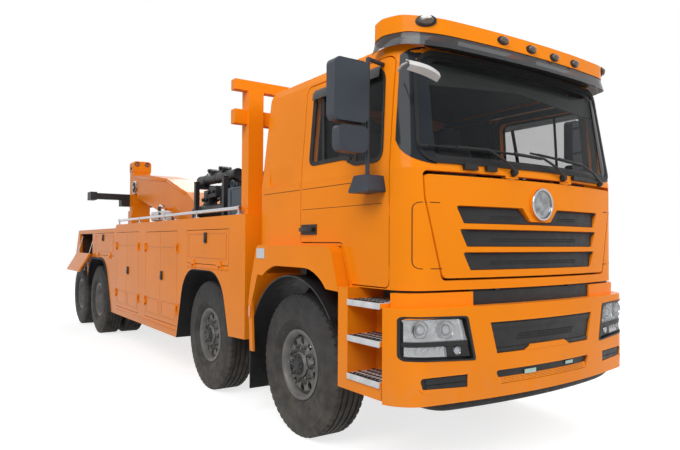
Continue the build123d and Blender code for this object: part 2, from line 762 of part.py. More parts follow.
# Bumper
BUMPER_LOW = 520.0
BUMPER_TOP = 1112.0
BUMPER_WALL = 45.0
BUMPER_BACK = 1165.0
BUMPER_CORNER_R = 250.0
LEDGE_TOP = 1200.0
LEDGE_IN = 62.0


def bumper_solid(inset, low, top):
    """Bumper volume with a bowed front, cut off square behind."""
    points = cab_plan(BODY_HALF, BUMPER_BACK - 465, FRONT_OVERHANG, inset, BUMPER_CORNER_R - inset)
    return prism_z(points, low, top) & block(BUMPER_BACK - inset, 1600, -1400, 1400, low, top)


bumper = bumper_solid(0, BUMPER_LOW, BUMPER_TOP) - bumper_solid(BUMPER_WALL, BUMPER_LOW - 10, BUMPER_TOP - 25)
LAMP_POCKET = [(-1196, 1046, 30), (-742, 1052, 20), (-676, 774, 20), (-1196, 800, 40)]
GRILLE_POCKET = [(-556, 1003, 0), (556, 1003, 0), (500, 799, 0), (-500, 799, 0)]
LOWER_POCKET = [(-514, 690, 16), (514, 690, 16), (470, 600, 16), (-470, 600, 16)]
FOG_POCKET = [(-1090, 690, 20), (-640, 690, 20), (-620, 575, 20), (-1060, 590, 20)]
STRIP = [(-636, BUMPER_TOP, 0), (636, BUMPER_TOP, 0), (636, LEDGE_TOP, 0), (-636, LEDGE_TOP, 0)]
lamp_cut = prism_x(LAMP_POCKET, 1100, 1700)
fog_cut = prism_x(FOG_POCKET, 1100, 1700)
grille_cut = prism_x(GRILLE_POCKET, 1100, 1700)
lower_cut = prism_x(LOWER_POCKET, 1100, 1700)
for cut in [grille_cut, lower_cut] + both(lamp_cut) + both(fog_cut):
    bumper = bumper - cut
ledge = bumper_solid(LEDGE_IN, BUMPER_TOP - 2, LEDGE_TOP) - bumper_solid(LEDGE_IN + 40, BUMPER_TOP - 10, LEDGE_TOP + 10)
ledge = ledge & (block(BUMPER_BACK, 1600, -1300, -640, 1000, 1300) + block(BUMPER_BACK, 1600, 640, 1300, 1000, 1300))
bumper = bumper + ledge
bracket = block(FRAME_FRONT, FRONT_OVERHANG - BUMPER_WALL, 340, 440, 712, 780)
for arm in both(bracket):
    bumper = bumper + arm
put("bumper", bumper)


def inlay(points, face_in, face_back):
    """Insert that fills a bumper pocket, set back from the bumper's face."""
    plane = Plane(origin=(1100, 0, 0), x_dir=(0, 1, 0), z_dir=(1, 0, 0))
    cut = extrude(plane * grown(points, -FIT), amount=600)
    skin = bumper_solid(face_in, BUMPER_LOW, BUMPER_TOP - 30) - bumper_solid(face_back, BUMPER_LOW - 9, BUMPER_TOP)
    return skin & cut


lamp = inlay(LAMP_POCKET, 4, BUMPER_WALL)
put("headlamps", Compound(both(lamp)))
strip_skin = bumper_solid(LEDGE_IN + 12, BUMPER_TOP, LEDGE_TOP) - bumper_solid(LEDGE_IN + 40, 1000, 1300)
strip_piece = strip_skin & prism_x(STRIP, 1200, 1600)
inserts = [inlay(GRILLE_POCKET, 14, BUMPER_WALL), inlay(LOWER_POCKET, 20, BUMPER_WALL), strip_piece]
inserts += both(inlay(FOG_POCKET, 12, BUMPER_WALL))
put("bumper_grilles", Compound(inserts))

# Front fenders with their rear strips
FENDER_T = 20.0
FENDER_IN = 700.0
FENDER_OUT = [(-625, 1245, 0), (-545, CAB_STEP_Z, 60), (588, CAB_STEP_Z, 80), (692, 1178, 0)]
FENDER_HOLLOW = [(-605, 1200, 0), (-528, CAB_STEP_Z - FENDER_T, 50), (572, CAB_STEP_Z - FENDER_T, 60), (676, 1150, 0)]
ARCH1 = [(-596, 300, 0), (-596, 1324, 430), (650, 1324, 430), (650, 300, 0)]
REAR_STRIP = [
    (-500, 1290, 0),
    (-632, 1240, 0),
    (-692, 1000, 100),
    (-657, 577, 0),
    (-597, 577, 0),
    (-632, 990, 100),
]
fender = prism_y(FENDER_OUT, -BODY_HALF, -FENDER_IN)
fender = fender - prism_y(FENDER_HOLLOW, -BODY_HALF + FENDER_T, -FENDER_IN + 10)
fender = fender - prism_y(ARCH1, -BODY_HALF - 10, -FENDER_IN + 20)
fender = fender + prism_y(REAR_STRIP, -BODY_HALF, -BODY_HALF + FENDER_T)
put("front_fenders", Compound(both(fender)))

# Wheel liners and flaps of the first axle
LINER_R = 690.0
LINER_T = 12.0
LINER_Y = (-1222.0, -800.0)
FLAP_LOW = 240.0
ring = rod_y(0, TYRE_R, LINER_R + LINER_T, LINER_Y[0], LINER_Y[1])
ring = ring - rod_y(0, TYRE_R, LINER_R, LINER_Y[0] - 10, LINER_Y[1] + 10)
keep = [(-900, TYRE_R, 0), (-900, 1400, 0), (500, 1400, 0), (560, 940, 0), (0, TYRE_R, 0)]
ring = ring & prism_y(keep, -1300, -700)
ring += block(-LINER_R - LINER_T, -LINER_R, LINER_Y[0], LINER_Y[1], FLAP_LOW, TYRE_R + 5)
ring += block(-40, 40, -1100, -900, TYRE_R + LINER_R + 4, CAB_STEP_Z - FENDER_T)
put("mudguards", Compound(both(ring)))

# Cab steps
STEP_X = (694.0, 1160.0)
STEP_POST = 805.0
STEP_LOW = 540.0
STEP_IN = 940.0
TREAD_T = 28.0
TREAD_Z = (650.0, 900.0, 1135.0)
TREAD_OUT = 1250.0
steps = block(STEP_X[0], STEP_POST, -BODY_HALF, -STEP_IN, STEP_LOW, CAB_BOTTOM)
steps += block(STEP_POST - 1, STEP_X[1], -1000, -STEP_IN, STEP_LOW, TREAD_Z[2] - 1)
steps += block(STEP_POST - 1, STEP_X[1], -BODY_HALF, -990, STEP_LOW, TREAD_Z[0] - TREAD_T + 1)
for z in TREAD_Z:
    steps += block(STEP_POST - 1, STEP_X[1], -TREAD_OUT, -990, z - TREAD_T, z)
put("cab_steps", Compound(both(steps)))

# Locker cabinets along both sides
ARCH2 = [(-1096, 600, 0), (-1290, 1228, 360), (-2310, 1228, 360), (-2530, LOCKER_SKIRT - 40, 0), (-1096, 380, 0)]
SIDE_OUTLINE = [
    (LOCKER_FRONT, 655, 0),
    (LOCKER_FRONT, LOCKER_TOP, 0),
    (LOCKER_STEP_X + 25, LOCKER_TOP, 0),
    (LOCKER_STEP_X - 25, LOCKER_TOP_REAR, 0),
    (LOCKER_TAIL_TOP, LOCKER_TOP_REAR, 0),
    (LOCKER_TAIL_LOW, 1262, 0),
    (-7380, 1241, 380),
    (-7085, 836, 0),
    (-7060, 836, 0),
    (-6880, 1241, 330),
    (-5830, 1241, 420),
    (-5440, LOCKER_SKIRT, 0),
    (-2518, LOCKER_SKIRT, 0),
    (-2290, 1228, 380),
    (-1300, 1228, 380),
    (-1112, 640, 0),
]
BAYS = (
    # tag, front x, rear x, low z, high z
    ("a", -1112.0, -2212.0, 1285.0, 1640.0),
    ("b", -2516.0, -3706.0, 560.0, 1640.0),
    ("c", -4018.0, -5150.0, 560.0, 1650.0),
    ("d", -5310.0, -6560.0, 1290.0, 1650.0),
    ("e", -6760.0, -7810.0, 1290.0, 1650.0),
)
LEAVES = (
    # tag, bay, part of the bay from its front end, hinge edge
    ("a", "a", 0.0, 1.0, "low"),
    ("b_front", "b", 0.0, 0.5, "front"),
    ("b_rear", "b", 0.5, 1.0, "rear"),
    ("c_front", "c", 0.0, 0.5, "front"),
    ("c_rear", "c", 0.5, 1.0, "rear"),
    ("d", "d", 0.0, 1.0, "low"),
    ("e", "e", 0.0, 1.0, "low"),
)
OPEN_LEAF = "e"
OPEN_DEG = 150.0
cabinet = prism_y(SIDE_OUTLINE, -BODY_HALF, -LOCKER_INNER)
for tag, x_front, x_rear, z_low, z_high in BAYS:
    cabinet = cabinet - block(x_rear, x_front, -BODY_HALF - 10, -LOCKER_INNER - LOCKER_BACK, z_low, z_high)


def station(edge, x, z, along):
    """Fixed and moving barrels of one locker hinge, with their straps."""
    y = -BODY_HALF - HINGE_OUT
    half = HINGE_LEN / 2
    edge_gap = MOVE_GAP / 2
    fixed = []
    if edge == "low":
        moving = rod_x(y, z, HINGE_R, along - half, along + half)
        moving += block(along - half, along + half, y, -BODY_HALF + 1, z + edge_gap, z + HINGE_STRAP)
        for way in (-1, 1):
            a0 = along + way * (half + 0.4)
            a1 = along + way * (half + 28)
            fixed.append(rod_x(y, z, HINGE_R, a0, a1))
            fixed.append(block(a0, a1, y, -BODY_HALF + 1, z - HINGE_STRAP, z - edge_gap))
    else:
        way_in = -1 if edge == "front" else 1
        moving = rod_z(x, y, HINGE_R, along - half, along + half)
        x0 = x + way_in * edge_gap
        x1 = x + way_in * HINGE_STRAP
        moving += block(x0, x1, y, -BODY_HALF + 1, along - half, along + half)
        for way in (-1, 1):
            a0 = along + way * (half + 0.4)
            a1 = along + way * (half + 28)
            fixed.append(rod_z(x, y, HINGE_R, a0, a1))
            fixed.append(block(x - way_in * edge_gap, x - way_in * HINGE_STRAP, y, -BODY_HALF + 1, a0, a1))
    return fixed, moving


bay_table = {row[0]: row[1:] for row in BAYS}
leaf_shapes = []
for tag, bay, start, end, edge in LEAVES:
    x_front, x_rear, z_low, z_high = bay_table[bay]
    span = x_front - x_rear
    xf = x_front - span * start - (MOVE_GAP if start == 0.0 else MOVE_GAP / 2)
    xr = x_front - span * end + (MOVE_GAP if end == 1.0 else MOVE_GAP / 2)
    zl = z_low + MOVE_GAP
    zh = z_high - MOVE_GAP
    leaf = block(xr, xf, -BODY_HALF, -BODY_HALF + DOOR_T, zl, zh)
    moving_parts = []
    for part in (0.18, 0.82):
        if edge == "low":
            hinge_z = z_low + MOVE_GAP / 2
            fixed, moving = station(edge, 0, hinge_z, xr + (xf - xr) * part)
        else:
            hinge_x = x_front - MOVE_GAP / 2 if edge == "front" else x_rear + MOVE_GAP / 2
            fixed, moving = station(edge, hinge_x, 0, zl + (zh - zl) * part)
        moving_parts.append(moving)
        for piece in fixed:
            cabinet = cabinet + piece
    leaf = joined([leaf] + moving_parts)
    leaf_shapes.append((tag, leaf, z_low + MOVE_GAP / 2))
put("cabinets", Compound(both(cabinet)))
for tag, leaf, hinge_z in leaf_shapes:
    put("locker_door_" + tag + "_left", flip(leaf))
    if tag == OPEN_LEAF:
        hinge = Axis((0, -BODY_HALF - HINGE_OUT, hinge_z), (1, 0, 0))
        leaf = leaf.rotate(hinge, OPEN_DEG)
    put("locker_door_" + tag + "_right", leaf)

# Deck: floor, sub-frame beams, headboard, boom towers and cylinder feet
TOWER_Y = (BOOM_HALF + MOVE_GAP, BOOM_HALF + MOVE_GAP + 44)
DECK_REAR = -8000.0
DECK_BEAM_LOW = 1130.0
deck = block(DECK_REAR, LOCKER_FRONT, -LOCKER_INNER, LOCKER_INNER, DECK_Z - DECK_T, DECK_Z)
for beam in both(block(DECK_REAR, LOCKER_FRONT, RAIL_Y - RAIL_FLANGE, RAIL_Y, RAIL_TOP, DECK_Z - DECK_T + 1)):
    deck += beam
for x in (-1200.0, -2700.0, -3900.0, -5100.0, -7000.0, -7960.0):
    deck += block(x - 40, x + 40, -LOCKER_INNER, LOCKER_INNER, DECK_BEAM_LOW, DECK_Z - DECK_T + 1)
tower_points = [
    (-4050, DECK_Z - 1, 0),
    (-4230, 1900, 90),
    (-4290, 2010, 60),
    (-4410, 2010, 60),
    (-4470, 1900, 90),
    (-4800, DECK_Z - 1, 0),
]
tower = prism_y(tower_points, -TOWER_Y[1], -TOWER_Y[0])
tower += rod_y(CYL_FOOT[0], CYL_FOOT[1], CYL_PIN_R, -TOWER_Y[1] + 5, -CYL_Y - 62)
for piece in both(tower):
    deck += piece
deck = deck - rod_y(BOOM_PIVOT[0], BOOM_PIVOT[1], BOOM_PIN_R + RUN_FIT, -500, 500)
put("deck", deck)

# Boom: wedge-sided outer box, pivot pin and head pins for the cylinders
BOOM_SIDE = [
    (-4235, 1850, 60),
    (-4300, 2000, 40),
    (-4855, 2285, 60),
    (-5812, 2577, 200),
    (-6882, 2734, 300),
    (-7540, 2783, 0),
    (-7540, 2360, 0),
    (-5600, 1905, 200),
    (-4500, 1790, 80),
]
slope = math.radians(BOOM_SLOPE_DEG)


def along_boom(half, x_start, x_end):
    """Square section carried along the boom's sloping axis."""
    points = []
    for x, way in ((x_start, 1), (x_end, 1), (x_end, -1), (x_start, -1)):
        z = BOOM_AXIS[1] - (x - BOOM_AXIS[0]) * math.tan(slope)
        points.append((x + way * half * math.sin(slope), z + way * half * math.cos(slope), 0))
    return prism_y(points, -half, half)


boom = prism_y(BOOM_SIDE, -BOOM_HALF, BOOM_HALF)
boom = boom - along_boom(BORE_HALF, BORE_START, -7900)
boom += rod_y(BOOM_PIVOT[0], BOOM_PIVOT[1], BOOM_PIN_R, -TOWER_Y[1] - 8, TOWER_Y[1] + 8)
for pin in both(rod_y(CYL_HEAD[0], CYL_HEAD[1], CYL_HEAD_PIN_R, -CYL_Y - 45, -BOOM_HALF + 5)):
    boom += pin
put("boom", boom)

# Extending boom with the mast, its sheave head and the underlift lugs
tube = along_boom(TUBE_HALF, BORE_START - 30, MAST_FRONT - 40)
tube += along_boom(BORE_HALF - FIT, BORE_START - 30, BORE_START - 180)
HEAD_HALF = 182.0
HEAD_Z = (2935.0, 3150.0)
ROPE_HOLE_Y = 100.0
ROPE_HOLE_Z = 3088.0
ROPE_HOLE_R = 36.0
mast = block(MAST_REAR, MAST_FRONT, -MAST_HALF, MAST_HALF, MAST_FOOT, HEAD_Z[0] + 10)
mast += prism_x(
    [
        (-HEAD_HALF, HEAD_Z[0], 10),
        (-HEAD_HALF, HEAD_Z[1], 60),
        (HEAD_HALF, HEAD_Z[1], 60),
        (HEAD_HALF, HEAD_Z[0], 10),
    ],
    MAST_REAR,
    MAST_FRONT + 10,
)
for y in (-ROPE_HOLE_Y, ROPE_HOLE_Y):
    mast = mast - rod_x(y, ROPE_HOLE_Z, ROPE_HOLE_R, MAST_REAR - 10, MAST_FRONT + 20)
LUG_IN = ARM_HALF_Y + MOVE_GAP
lug = prism_y(
    [
        (MAST_REAR + 10, 530, 0),
        (ARM_PIVOT[0], 540, 0),
        (ARM_PIVOT[0] - 90, 580, 60),
        (ARM_PIVOT[0] - 90, 700, 60),
        (ARM_PIVOT[0], 740, 0),
        (MAST_REAR + 10, 780, 0),
    ],
    -LUG_IN - 44,
    -LUG_IN,
)
for piece in both(lug):
    mast += piece
mast = mast - rod_y(ARM_PIVOT[0], ARM_PIVOT[1], ARM_PIN_R + RUN_FIT, -400, 400)
put("boom_extension", tube + mast)

# Underlift arm, folded up behind the mast, and its sliding cross arm
arm = block(ARM_PIVOT[0] - ARM_HALF_X, ARM_PIVOT[0] + ARM_HALF_X, -ARM_HALF_Y, ARM_HALF_Y, ARM_PIVOT[1], ARM_TOP)
arm += rod_y(ARM_PIVOT[0], ARM_PIVOT[1], ARM_HALF_X, -ARM_HALF_Y, ARM_HALF_Y)
ARM_BORE_X = SLIDER_HALF_X + MOVE_GAP
ARM_BORE_Y = SLIDER_HALF_Y + MOVE_GAP
arm_low = 900.0
arm = arm - block(ARM_PIVOT[0] - ARM_BORE_X, ARM_PIVOT[0] + ARM_BORE_X, -ARM_BORE_Y, ARM_BORE_Y, arm_low, ARM_TOP + 10)
arm += rod_y(ARM_PIVOT[0], ARM_PIVOT[1], ARM_PIN_R, -LUG_IN - 50, LUG_IN + 50)
put("underlift_arm", arm)
slider = block(
    ARM_PIVOT[0] - SLIDER_HALF_X, ARM_PIVOT[0] + SLIDER_HALF_X, -SLIDER_HALF_Y, SLIDER_HALF_Y, arm_low + 20, CROSSARM_Z
)
pad_x = ARM_BORE_X - FIT
pad_y = ARM_BORE_Y - FIT
slider += block(ARM_PIVOT[0] - pad_x, ARM_PIVOT[0] + pad_x, -pad_y, pad_y, arm_low + 20, arm_low + 140)
slider += block(ARM_PIVOT[0] - 110, ARM_PIVOT[0] + 110, -330, 330, CROSSARM_Z - 190, CROSSARM_Z - 50)
slider += block(ARM_PIVOT[0] - 65, ARM_PIVOT[0] + 65, -CROSSARM_HALF, CROSSARM_HALF, CROSSARM_Z - 60, CROSSARM_Z + 60)
for y in (-CROSSARM_HALF + 60, CROSSARM_HALF - 60):
    socket = block(REAR_X, ARM_PIVOT[0] + 90, y - 60, y + 60, CROSSARM_Z - 80, CROSSARM_Z + 80)
    socket = socket - block(REAR_X - 10, ARM_PIVOT[0] - 90, y - 40, y + 40, CROSSARM_Z - 60, CROSSARM_Z + 60)
    socket = socket - rod_z(FORK_PIN_X, y, FORK_PIN_R, CROSSARM_Z - 100, CROSSARM_Z + 100)
    slider += socket
put("underlift_slider", slider)

# Lift cylinders
lift = Vector(CYL_HEAD[0] - CYL_FOOT[0], 0, CYL_HEAD[1] - CYL_FOOT[1])
lift_len = lift.length
lift_dir = lift.normalized()


def lift_point(distance, y):
    """Point on a cylinder's axis at a distance from its foot pin."""
    return (CYL_FOOT[0] + lift_dir.X * distance, y, CYL_FOOT[1] + lift_dir.Z * distance)


barrel_piece = bar(lift_point(60, -CYL_Y), lift_point(CYL_BARREL, -CYL_Y), CYL_R)
barrel_piece += rod_y(CYL_FOOT[0], CYL_FOOT[1], 66, -CYL_Y - 40, -CYL_Y + 40)
barrel_piece = barrel_piece - bar(lift_point(220, -CYL_Y), lift_point(CYL_BARREL + 10, -CYL_Y), CYL_ROD_R + RUN_FIT)
barrel_piece = barrel_piece - rod_y(CYL_FOOT[0], CYL_FOOT[1], CYL_PIN_R + RUN_FIT, -CYL_Y - 60, -CYL_Y + 60)
put("lift_barrels", Compound(both(barrel_piece)))
rod_piece = bar(lift_point(400, -CYL_Y), lift_point(lift_len - 50, -CYL_Y), CYL_ROD_R)
rod_piece += rod_y(CYL_HEAD[0], CYL_HEAD[1], CYL_EYE_R, -CYL_Y - 36, -CYL_Y + 36)
rod_piece = rod_piece - rod_y(CYL_HEAD[0], CYL_HEAD[1], CYL_HEAD_HOLE_R, -CYL_Y - 60, -CYL_Y + 60)
put("lift_rods", Compound(both(rod_piece)))

# Winch under the boom
WINCH_X = -5150.0
WINCH_Z = 1410.0
winch = rod_y(WINCH_X, WINCH_Z, 120, -230, 230)
for y in (-230.0, -10.0, 10.0, 230.0):
    winch += rod_y(WINCH_X, WINCH_Z, 185, y - 9, y + 9)
winch += block(WINCH_X - 160, WINCH_X + 160, -250, -222, DECK_Z, WINCH_Z + 60)
winch += block(WINCH_X - 160, WINCH_X + 160, 222, 250, DECK_Z, WINCH_Z + 60)
put("winches", winch)

# Hand rails on the cabinets
RAIL_TUBE_R = 17.0
RAIL_TUBE_Y = -1218.0
RAIL_TUBE_Z = 1826.0
RAIL_TUBE_X = (-5150.0, -930.0)
hand_rail = rod_x(RAIL_TUBE_Y, RAIL_TUBE_Z, RAIL_TUBE_R, RAIL_TUBE_X[0], RAIL_TUBE_X[1])
for x in (-960.0, -2000.0, -3050.0, -4080.0, -5120.0):
    hand_rail += rod_z(x, RAIL_TUBE_Y, 11, LOCKER_TOP, RAIL_TUBE_Z)
put("hand_rails", Compound(both(hand_rail)))

# Light rack behind the cab
RACK_X = -950.0
rack = []
post = block(RACK_X - 70, RACK_X + 70, 1015, 1165, LOCKER_TOP, 2910)
rack += both(post)
rack.append(block(RACK_X - 45, RACK_X + 45, -1290, 1290, 2905, 3000))
rack.append(block(RACK_X - 45, RACK_X + 45, -1290, 1290, 2595, 2725))
put("light_rack", joined(rack))

# Hydraulic oil tank on the deck with four lifting rings
TANK_X = (-2560.0, -1180.0)
TANK_HALF = 620.0
TANK_TOP = 2150.0
tank = block(TANK_X[0], TANK_X[1], -TANK_HALF, TANK_HALF, DECK_Z, TANK_TOP)
tank = tank - block(TANK_X[0] + 12, TANK_X[1] - 12, -TANK_HALF + 12, TANK_HALF - 12, DECK_Z - 1, TANK_TOP - 12)
for x in (TANK_X[0] + 80, TANK_X[1] - 80):
    for y in (-TANK_HALF + 60, TANK_HALF - 60):
        eye = Pos(x, y, TANK_TOP + 32) * Rot(90, 0, 0) * Torus(36, 9)
        tank = tank + eye
put("oil_tank", tank)

# Rack of forks and tow tubes on the deck
FORK_X = (-4010.0, -2700.0)
fork = []
for x in (-2850.0, -3800.0):
    fork.append(block(x - 30, x + 30, -560, 560, DECK_Z, DECK_Z + 60))
    for y in (-530.0, 530.0):
        fork.append(block(x - 30, x + 30, y - 30, y + 30, DECK_Z, 2330))
    for z in (1820.0, 2270.0):
        fork.append(block(x - 25, x + 25, -560, 560, z - 30, z + 30))
TUBES = (
    # y, z, radius, rear x, front x
    (-440.0, 1930.0, 82.0, -3990.0, -2720.0),
    (-200.0, 1930.0, 82.0, -3900.0, -2720.0),
    (200.0, 1930.0, 82.0, -3900.0, -2720.0),
    (440.0, 1930.0, 82.0, -3990.0, -2720.0),
    (-400.0, 2365.0, 68.0, -3960.0, -2750.0),
    (0.0, 2365.0, 68.0, -3960.0, -2750.0),
    (400.0, 2365.0, 68.0, -3960.0, -2750.0),
)
for y, z, r, x0, x1 in TUBES:
    fork.append(rod_x(y, z, r, x0, x1))
put("fork_rack", joined(fork))
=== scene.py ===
"""Dressed scene of a heavy four-axle recovery truck, in metres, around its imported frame.

Places are written from the first axle: +X forward, +Y to the truck's left, +Z up,
and at() moves them into the frame.
"""
import json
import math

import bmesh
import bpy
from mathutils import Matrix, Vector
from mathutils.bvhtree import BVHTree


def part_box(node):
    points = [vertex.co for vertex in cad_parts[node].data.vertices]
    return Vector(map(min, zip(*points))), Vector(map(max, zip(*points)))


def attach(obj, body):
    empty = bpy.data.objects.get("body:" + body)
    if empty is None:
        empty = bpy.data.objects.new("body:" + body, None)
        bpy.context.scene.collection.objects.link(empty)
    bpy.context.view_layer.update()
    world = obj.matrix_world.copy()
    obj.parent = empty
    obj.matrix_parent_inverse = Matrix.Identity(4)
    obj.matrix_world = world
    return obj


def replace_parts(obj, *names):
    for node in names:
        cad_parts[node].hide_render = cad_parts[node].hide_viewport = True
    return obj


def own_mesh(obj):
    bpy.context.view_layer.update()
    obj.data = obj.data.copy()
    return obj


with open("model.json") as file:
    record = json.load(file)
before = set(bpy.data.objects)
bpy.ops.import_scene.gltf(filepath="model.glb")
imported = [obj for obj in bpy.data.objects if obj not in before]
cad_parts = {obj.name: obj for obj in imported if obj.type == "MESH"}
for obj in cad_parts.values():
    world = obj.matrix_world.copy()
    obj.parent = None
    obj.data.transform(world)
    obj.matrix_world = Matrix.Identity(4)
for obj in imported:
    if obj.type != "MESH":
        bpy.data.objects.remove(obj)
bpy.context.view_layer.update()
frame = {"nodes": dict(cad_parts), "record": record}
NODES = frame["nodes"]


def middle(node):
    """Centre of a node's box."""
    low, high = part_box(node)
    return (low + high) / 2


# Places and sizes that several pieces share
AXLE1_X = middle("wheel_axle1_right").x
TYRE_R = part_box("wheel_axle1_right")[1].z / 2
SIDES = (("right", -1), ("left", 1))
WAYS = (-1, 1)
FORWARD, LEFT, UP = Vector((1, 0, 0)), Vector((0, 1, 0)), Vector((0, 0, 1))
BODY_HALF = 1.245
LOCKER_TOP = 1.765
FAR = 3.0  # where rays start, clear of the truck
CREASE, SOFT_CREASE = 35.0, 50.0  # angles in degrees above which an edge stays sharp


def at(x, y, z):
    """Place given from the first axle, as a point of the frame."""
    return Vector((x + AXLE1_X, y, z))


def spread(first, last, count):
    """Evenly spaced numbers, both ends in."""
    return [first + (last - first) * i / (count - 1) for i in range(count)]


def turns(count, shift=0.0):
    """(cosine, sine) of evenly spaced directions round a circle."""
    angles = [2 * math.pi * (step + shift) / count for step in range(count)]
    return [(math.cos(a), math.sin(a)) for a in angles]


# Materials


class Look:
    """Shader nodes of a material or of the world."""

    def __init__(self, owner, shader="Principled BSDF", placed=True):
        owner.use_nodes = True
        self.nodes = owner.node_tree.nodes
        self.link = owner.node_tree.links.new
        self.shader = self.nodes[shader]
        self.coords = self.add("TexCoord", {}).outputs["Object"] if placed else None

    def feed(self, node, values):
        """Give a node's inputs their values or links."""
        for key, value in values.items():
            if isinstance(value, bpy.types.NodeSocket):
                self.link(value, node.inputs[key])
            else:
                node.inputs[key].default_value = value
        return node

    def add(self, kind, values, **settings):
        """New node with its settings and inputs."""
        node = self.nodes.new("ShaderNode" + kind)
        for key, value in settings.items():
            setattr(node, key, value)
        return self.feed(node, values)

    def noise(self, scale, detail=4.0):
        """Noise over the object's own coordinates."""
        values = {"Scale": scale, "Detail": detail, "Vector": self.coords}
        return self.add("TexNoise", values).outputs["Fac"]

    def height(self):
        """Height above the floor."""
        return self.add("SeparateXYZ", {"Vector": self.coords}).outputs["Z"]

    def span(self, source, low, high, to_low, to_high):
        """Value mapped from one range to another."""
        values = {"From Min": low, "From Max": high, "To Min": to_low, "To Max": to_high, "Value": source}
        return self.add("MapRange", values).outputs["Result"]

    def math(self, operation, first, second):
        """Two values joined by an operation."""
        return self.add("Math", {0: first, 1: second}, operation=operation).outputs[0]

    def mix(self, factor, first, second):
        """Colour mixed by a factor; each colour is a tuple or a socket."""
        pair = [(*c, 1.0) if isinstance(c, tuple) else c for c in (first, second)]
        return self.add("Mix", {0: factor, 6: pair[0], 7: pair[1]}, data_type="RGBA").outputs[2]

    def bump(self, height, depth):
        """Bump from a height, depth in metres."""
        node = self.add("Bump", {"Distance": depth, "Strength": 1.0, "Height": height})
        self.link(node.outputs["Normal"], self.shader.inputs["Normal"])


DUST = (0.36, 0.31, 0.25)
ORANGE = (0.90, 0.250, 0.006)
DECK_FLOOR = (1.203, 1.206)  # heights between which the deck's plate turns to paint
MID_NOISE = (0.3, 0.7)  # the part of a noise's range that is spread out
SPECKLE = (11.0, 8.0)  # scale and detail of the dust
COAT_ROUGH = 0.04
WEAVE_SCALE = 260.0
TREAD_SCALE = 9.0


def scaled(colour, factor):
    """Colour made darker or lighter."""
    return tuple(min(1.0, c * factor) for c in colour)


def worn(look, colour, rough, metal=0.0, tone=0.12, tone_scale=3.0, grain=300.0, depth=0.0002,
         dust=0.0, dust_top=1.0, coat=0.0, rough_spread=0.08, shine=0.25):
    """Surface with tone patches, fine grain, uneven gloss and road dust low down."""
    patches = look.span(look.noise(tone_scale), *MID_NOISE, 0.0, 1.0)
    shade = look.mix(patches, scaled(colour, 1 - tone), scaled(colour, 1 + tone))
    if dust > 0:
        height = look.span(look.height(), 0.0, dust_top, dust, 0.0)
        speckle = look.span(look.noise(*SPECKLE), 0.35, 0.65, 0.25, 1.0)
        shade = look.mix(look.math("MULTIPLY", height, speckle), shade, DUST)
    dull, bright = rough + rough_spread, max(0.0, rough - rough_spread)
    gloss = look.span(look.noise(tone_scale * 6), *MID_NOISE, bright, dull)
    look.feed(look.shader, {"Base Color": shade, "Metallic": metal, "Roughness": gloss, "Coat Weight": coat,
                            "Specular IOR Level": shine, "Coat Roughness": COAT_ROUGH})
    look.bump(look.noise(grain, 2.0), depth)


def clear_glass(look, colour, alpha, rough=0.02):
    """Tinted pane: mirror-like skin over a see-through body."""
    film = look.noise(4.0)
    shade = look.mix(film, scaled(colour, 0.9), colour)
    gloss = look.span(film, *MID_NOISE, rough, rough + 0.03)
    look.feed(look.shader, {"Base Color": shade, "Roughness": gloss, "IOR": 1.5, "Alpha": alpha,
                            "Specular IOR Level": 0.3})


def woven(look, colour):
    """Seat cloth with a fine crossed weave."""
    values = {"Scale": WEAVE_SCALE, "Color1": (*colour, 1), "Color2": (*scaled(colour, 0.85), 1)}
    checks = look.add("TexChecker", {**values, "Vector": look.coords})
    shade = look.mix(look.noise(9.0), checks.outputs["Color"], colour)
    look.feed(look.shader, {"Base Color": shade, "Roughness": 0.9, "Sheen Weight": 0.3})
    look.bump(checks.outputs["Fac"], 0.0008)


def chequer_plate(look):
    """Painted steel with truck orange on its uprights and a raised lozenge tread on its floor."""
    values = {"Scale": TREAD_SCALE, "Vector": look.coords}
    waves = [look.add("TexWave", values, bands_direction=way).outputs["Fac"] for way in "XY"]
    lozenge = look.span(look.math("MULTIPLY", *waves), 0.35, 0.6, 0.0, 1.0)
    plate = look.mix(lozenge, (0.10, 0.105, 0.11), (0.30, 0.31, 0.32))
    upright = look.span(look.height(), *DECK_FLOOR, 0.0, 1.0)
    look.feed(look.shader, {"Base Color": look.mix(upright, plate, ORANGE), "Roughness": 0.42})
    look.bump(lozenge, 0.002)


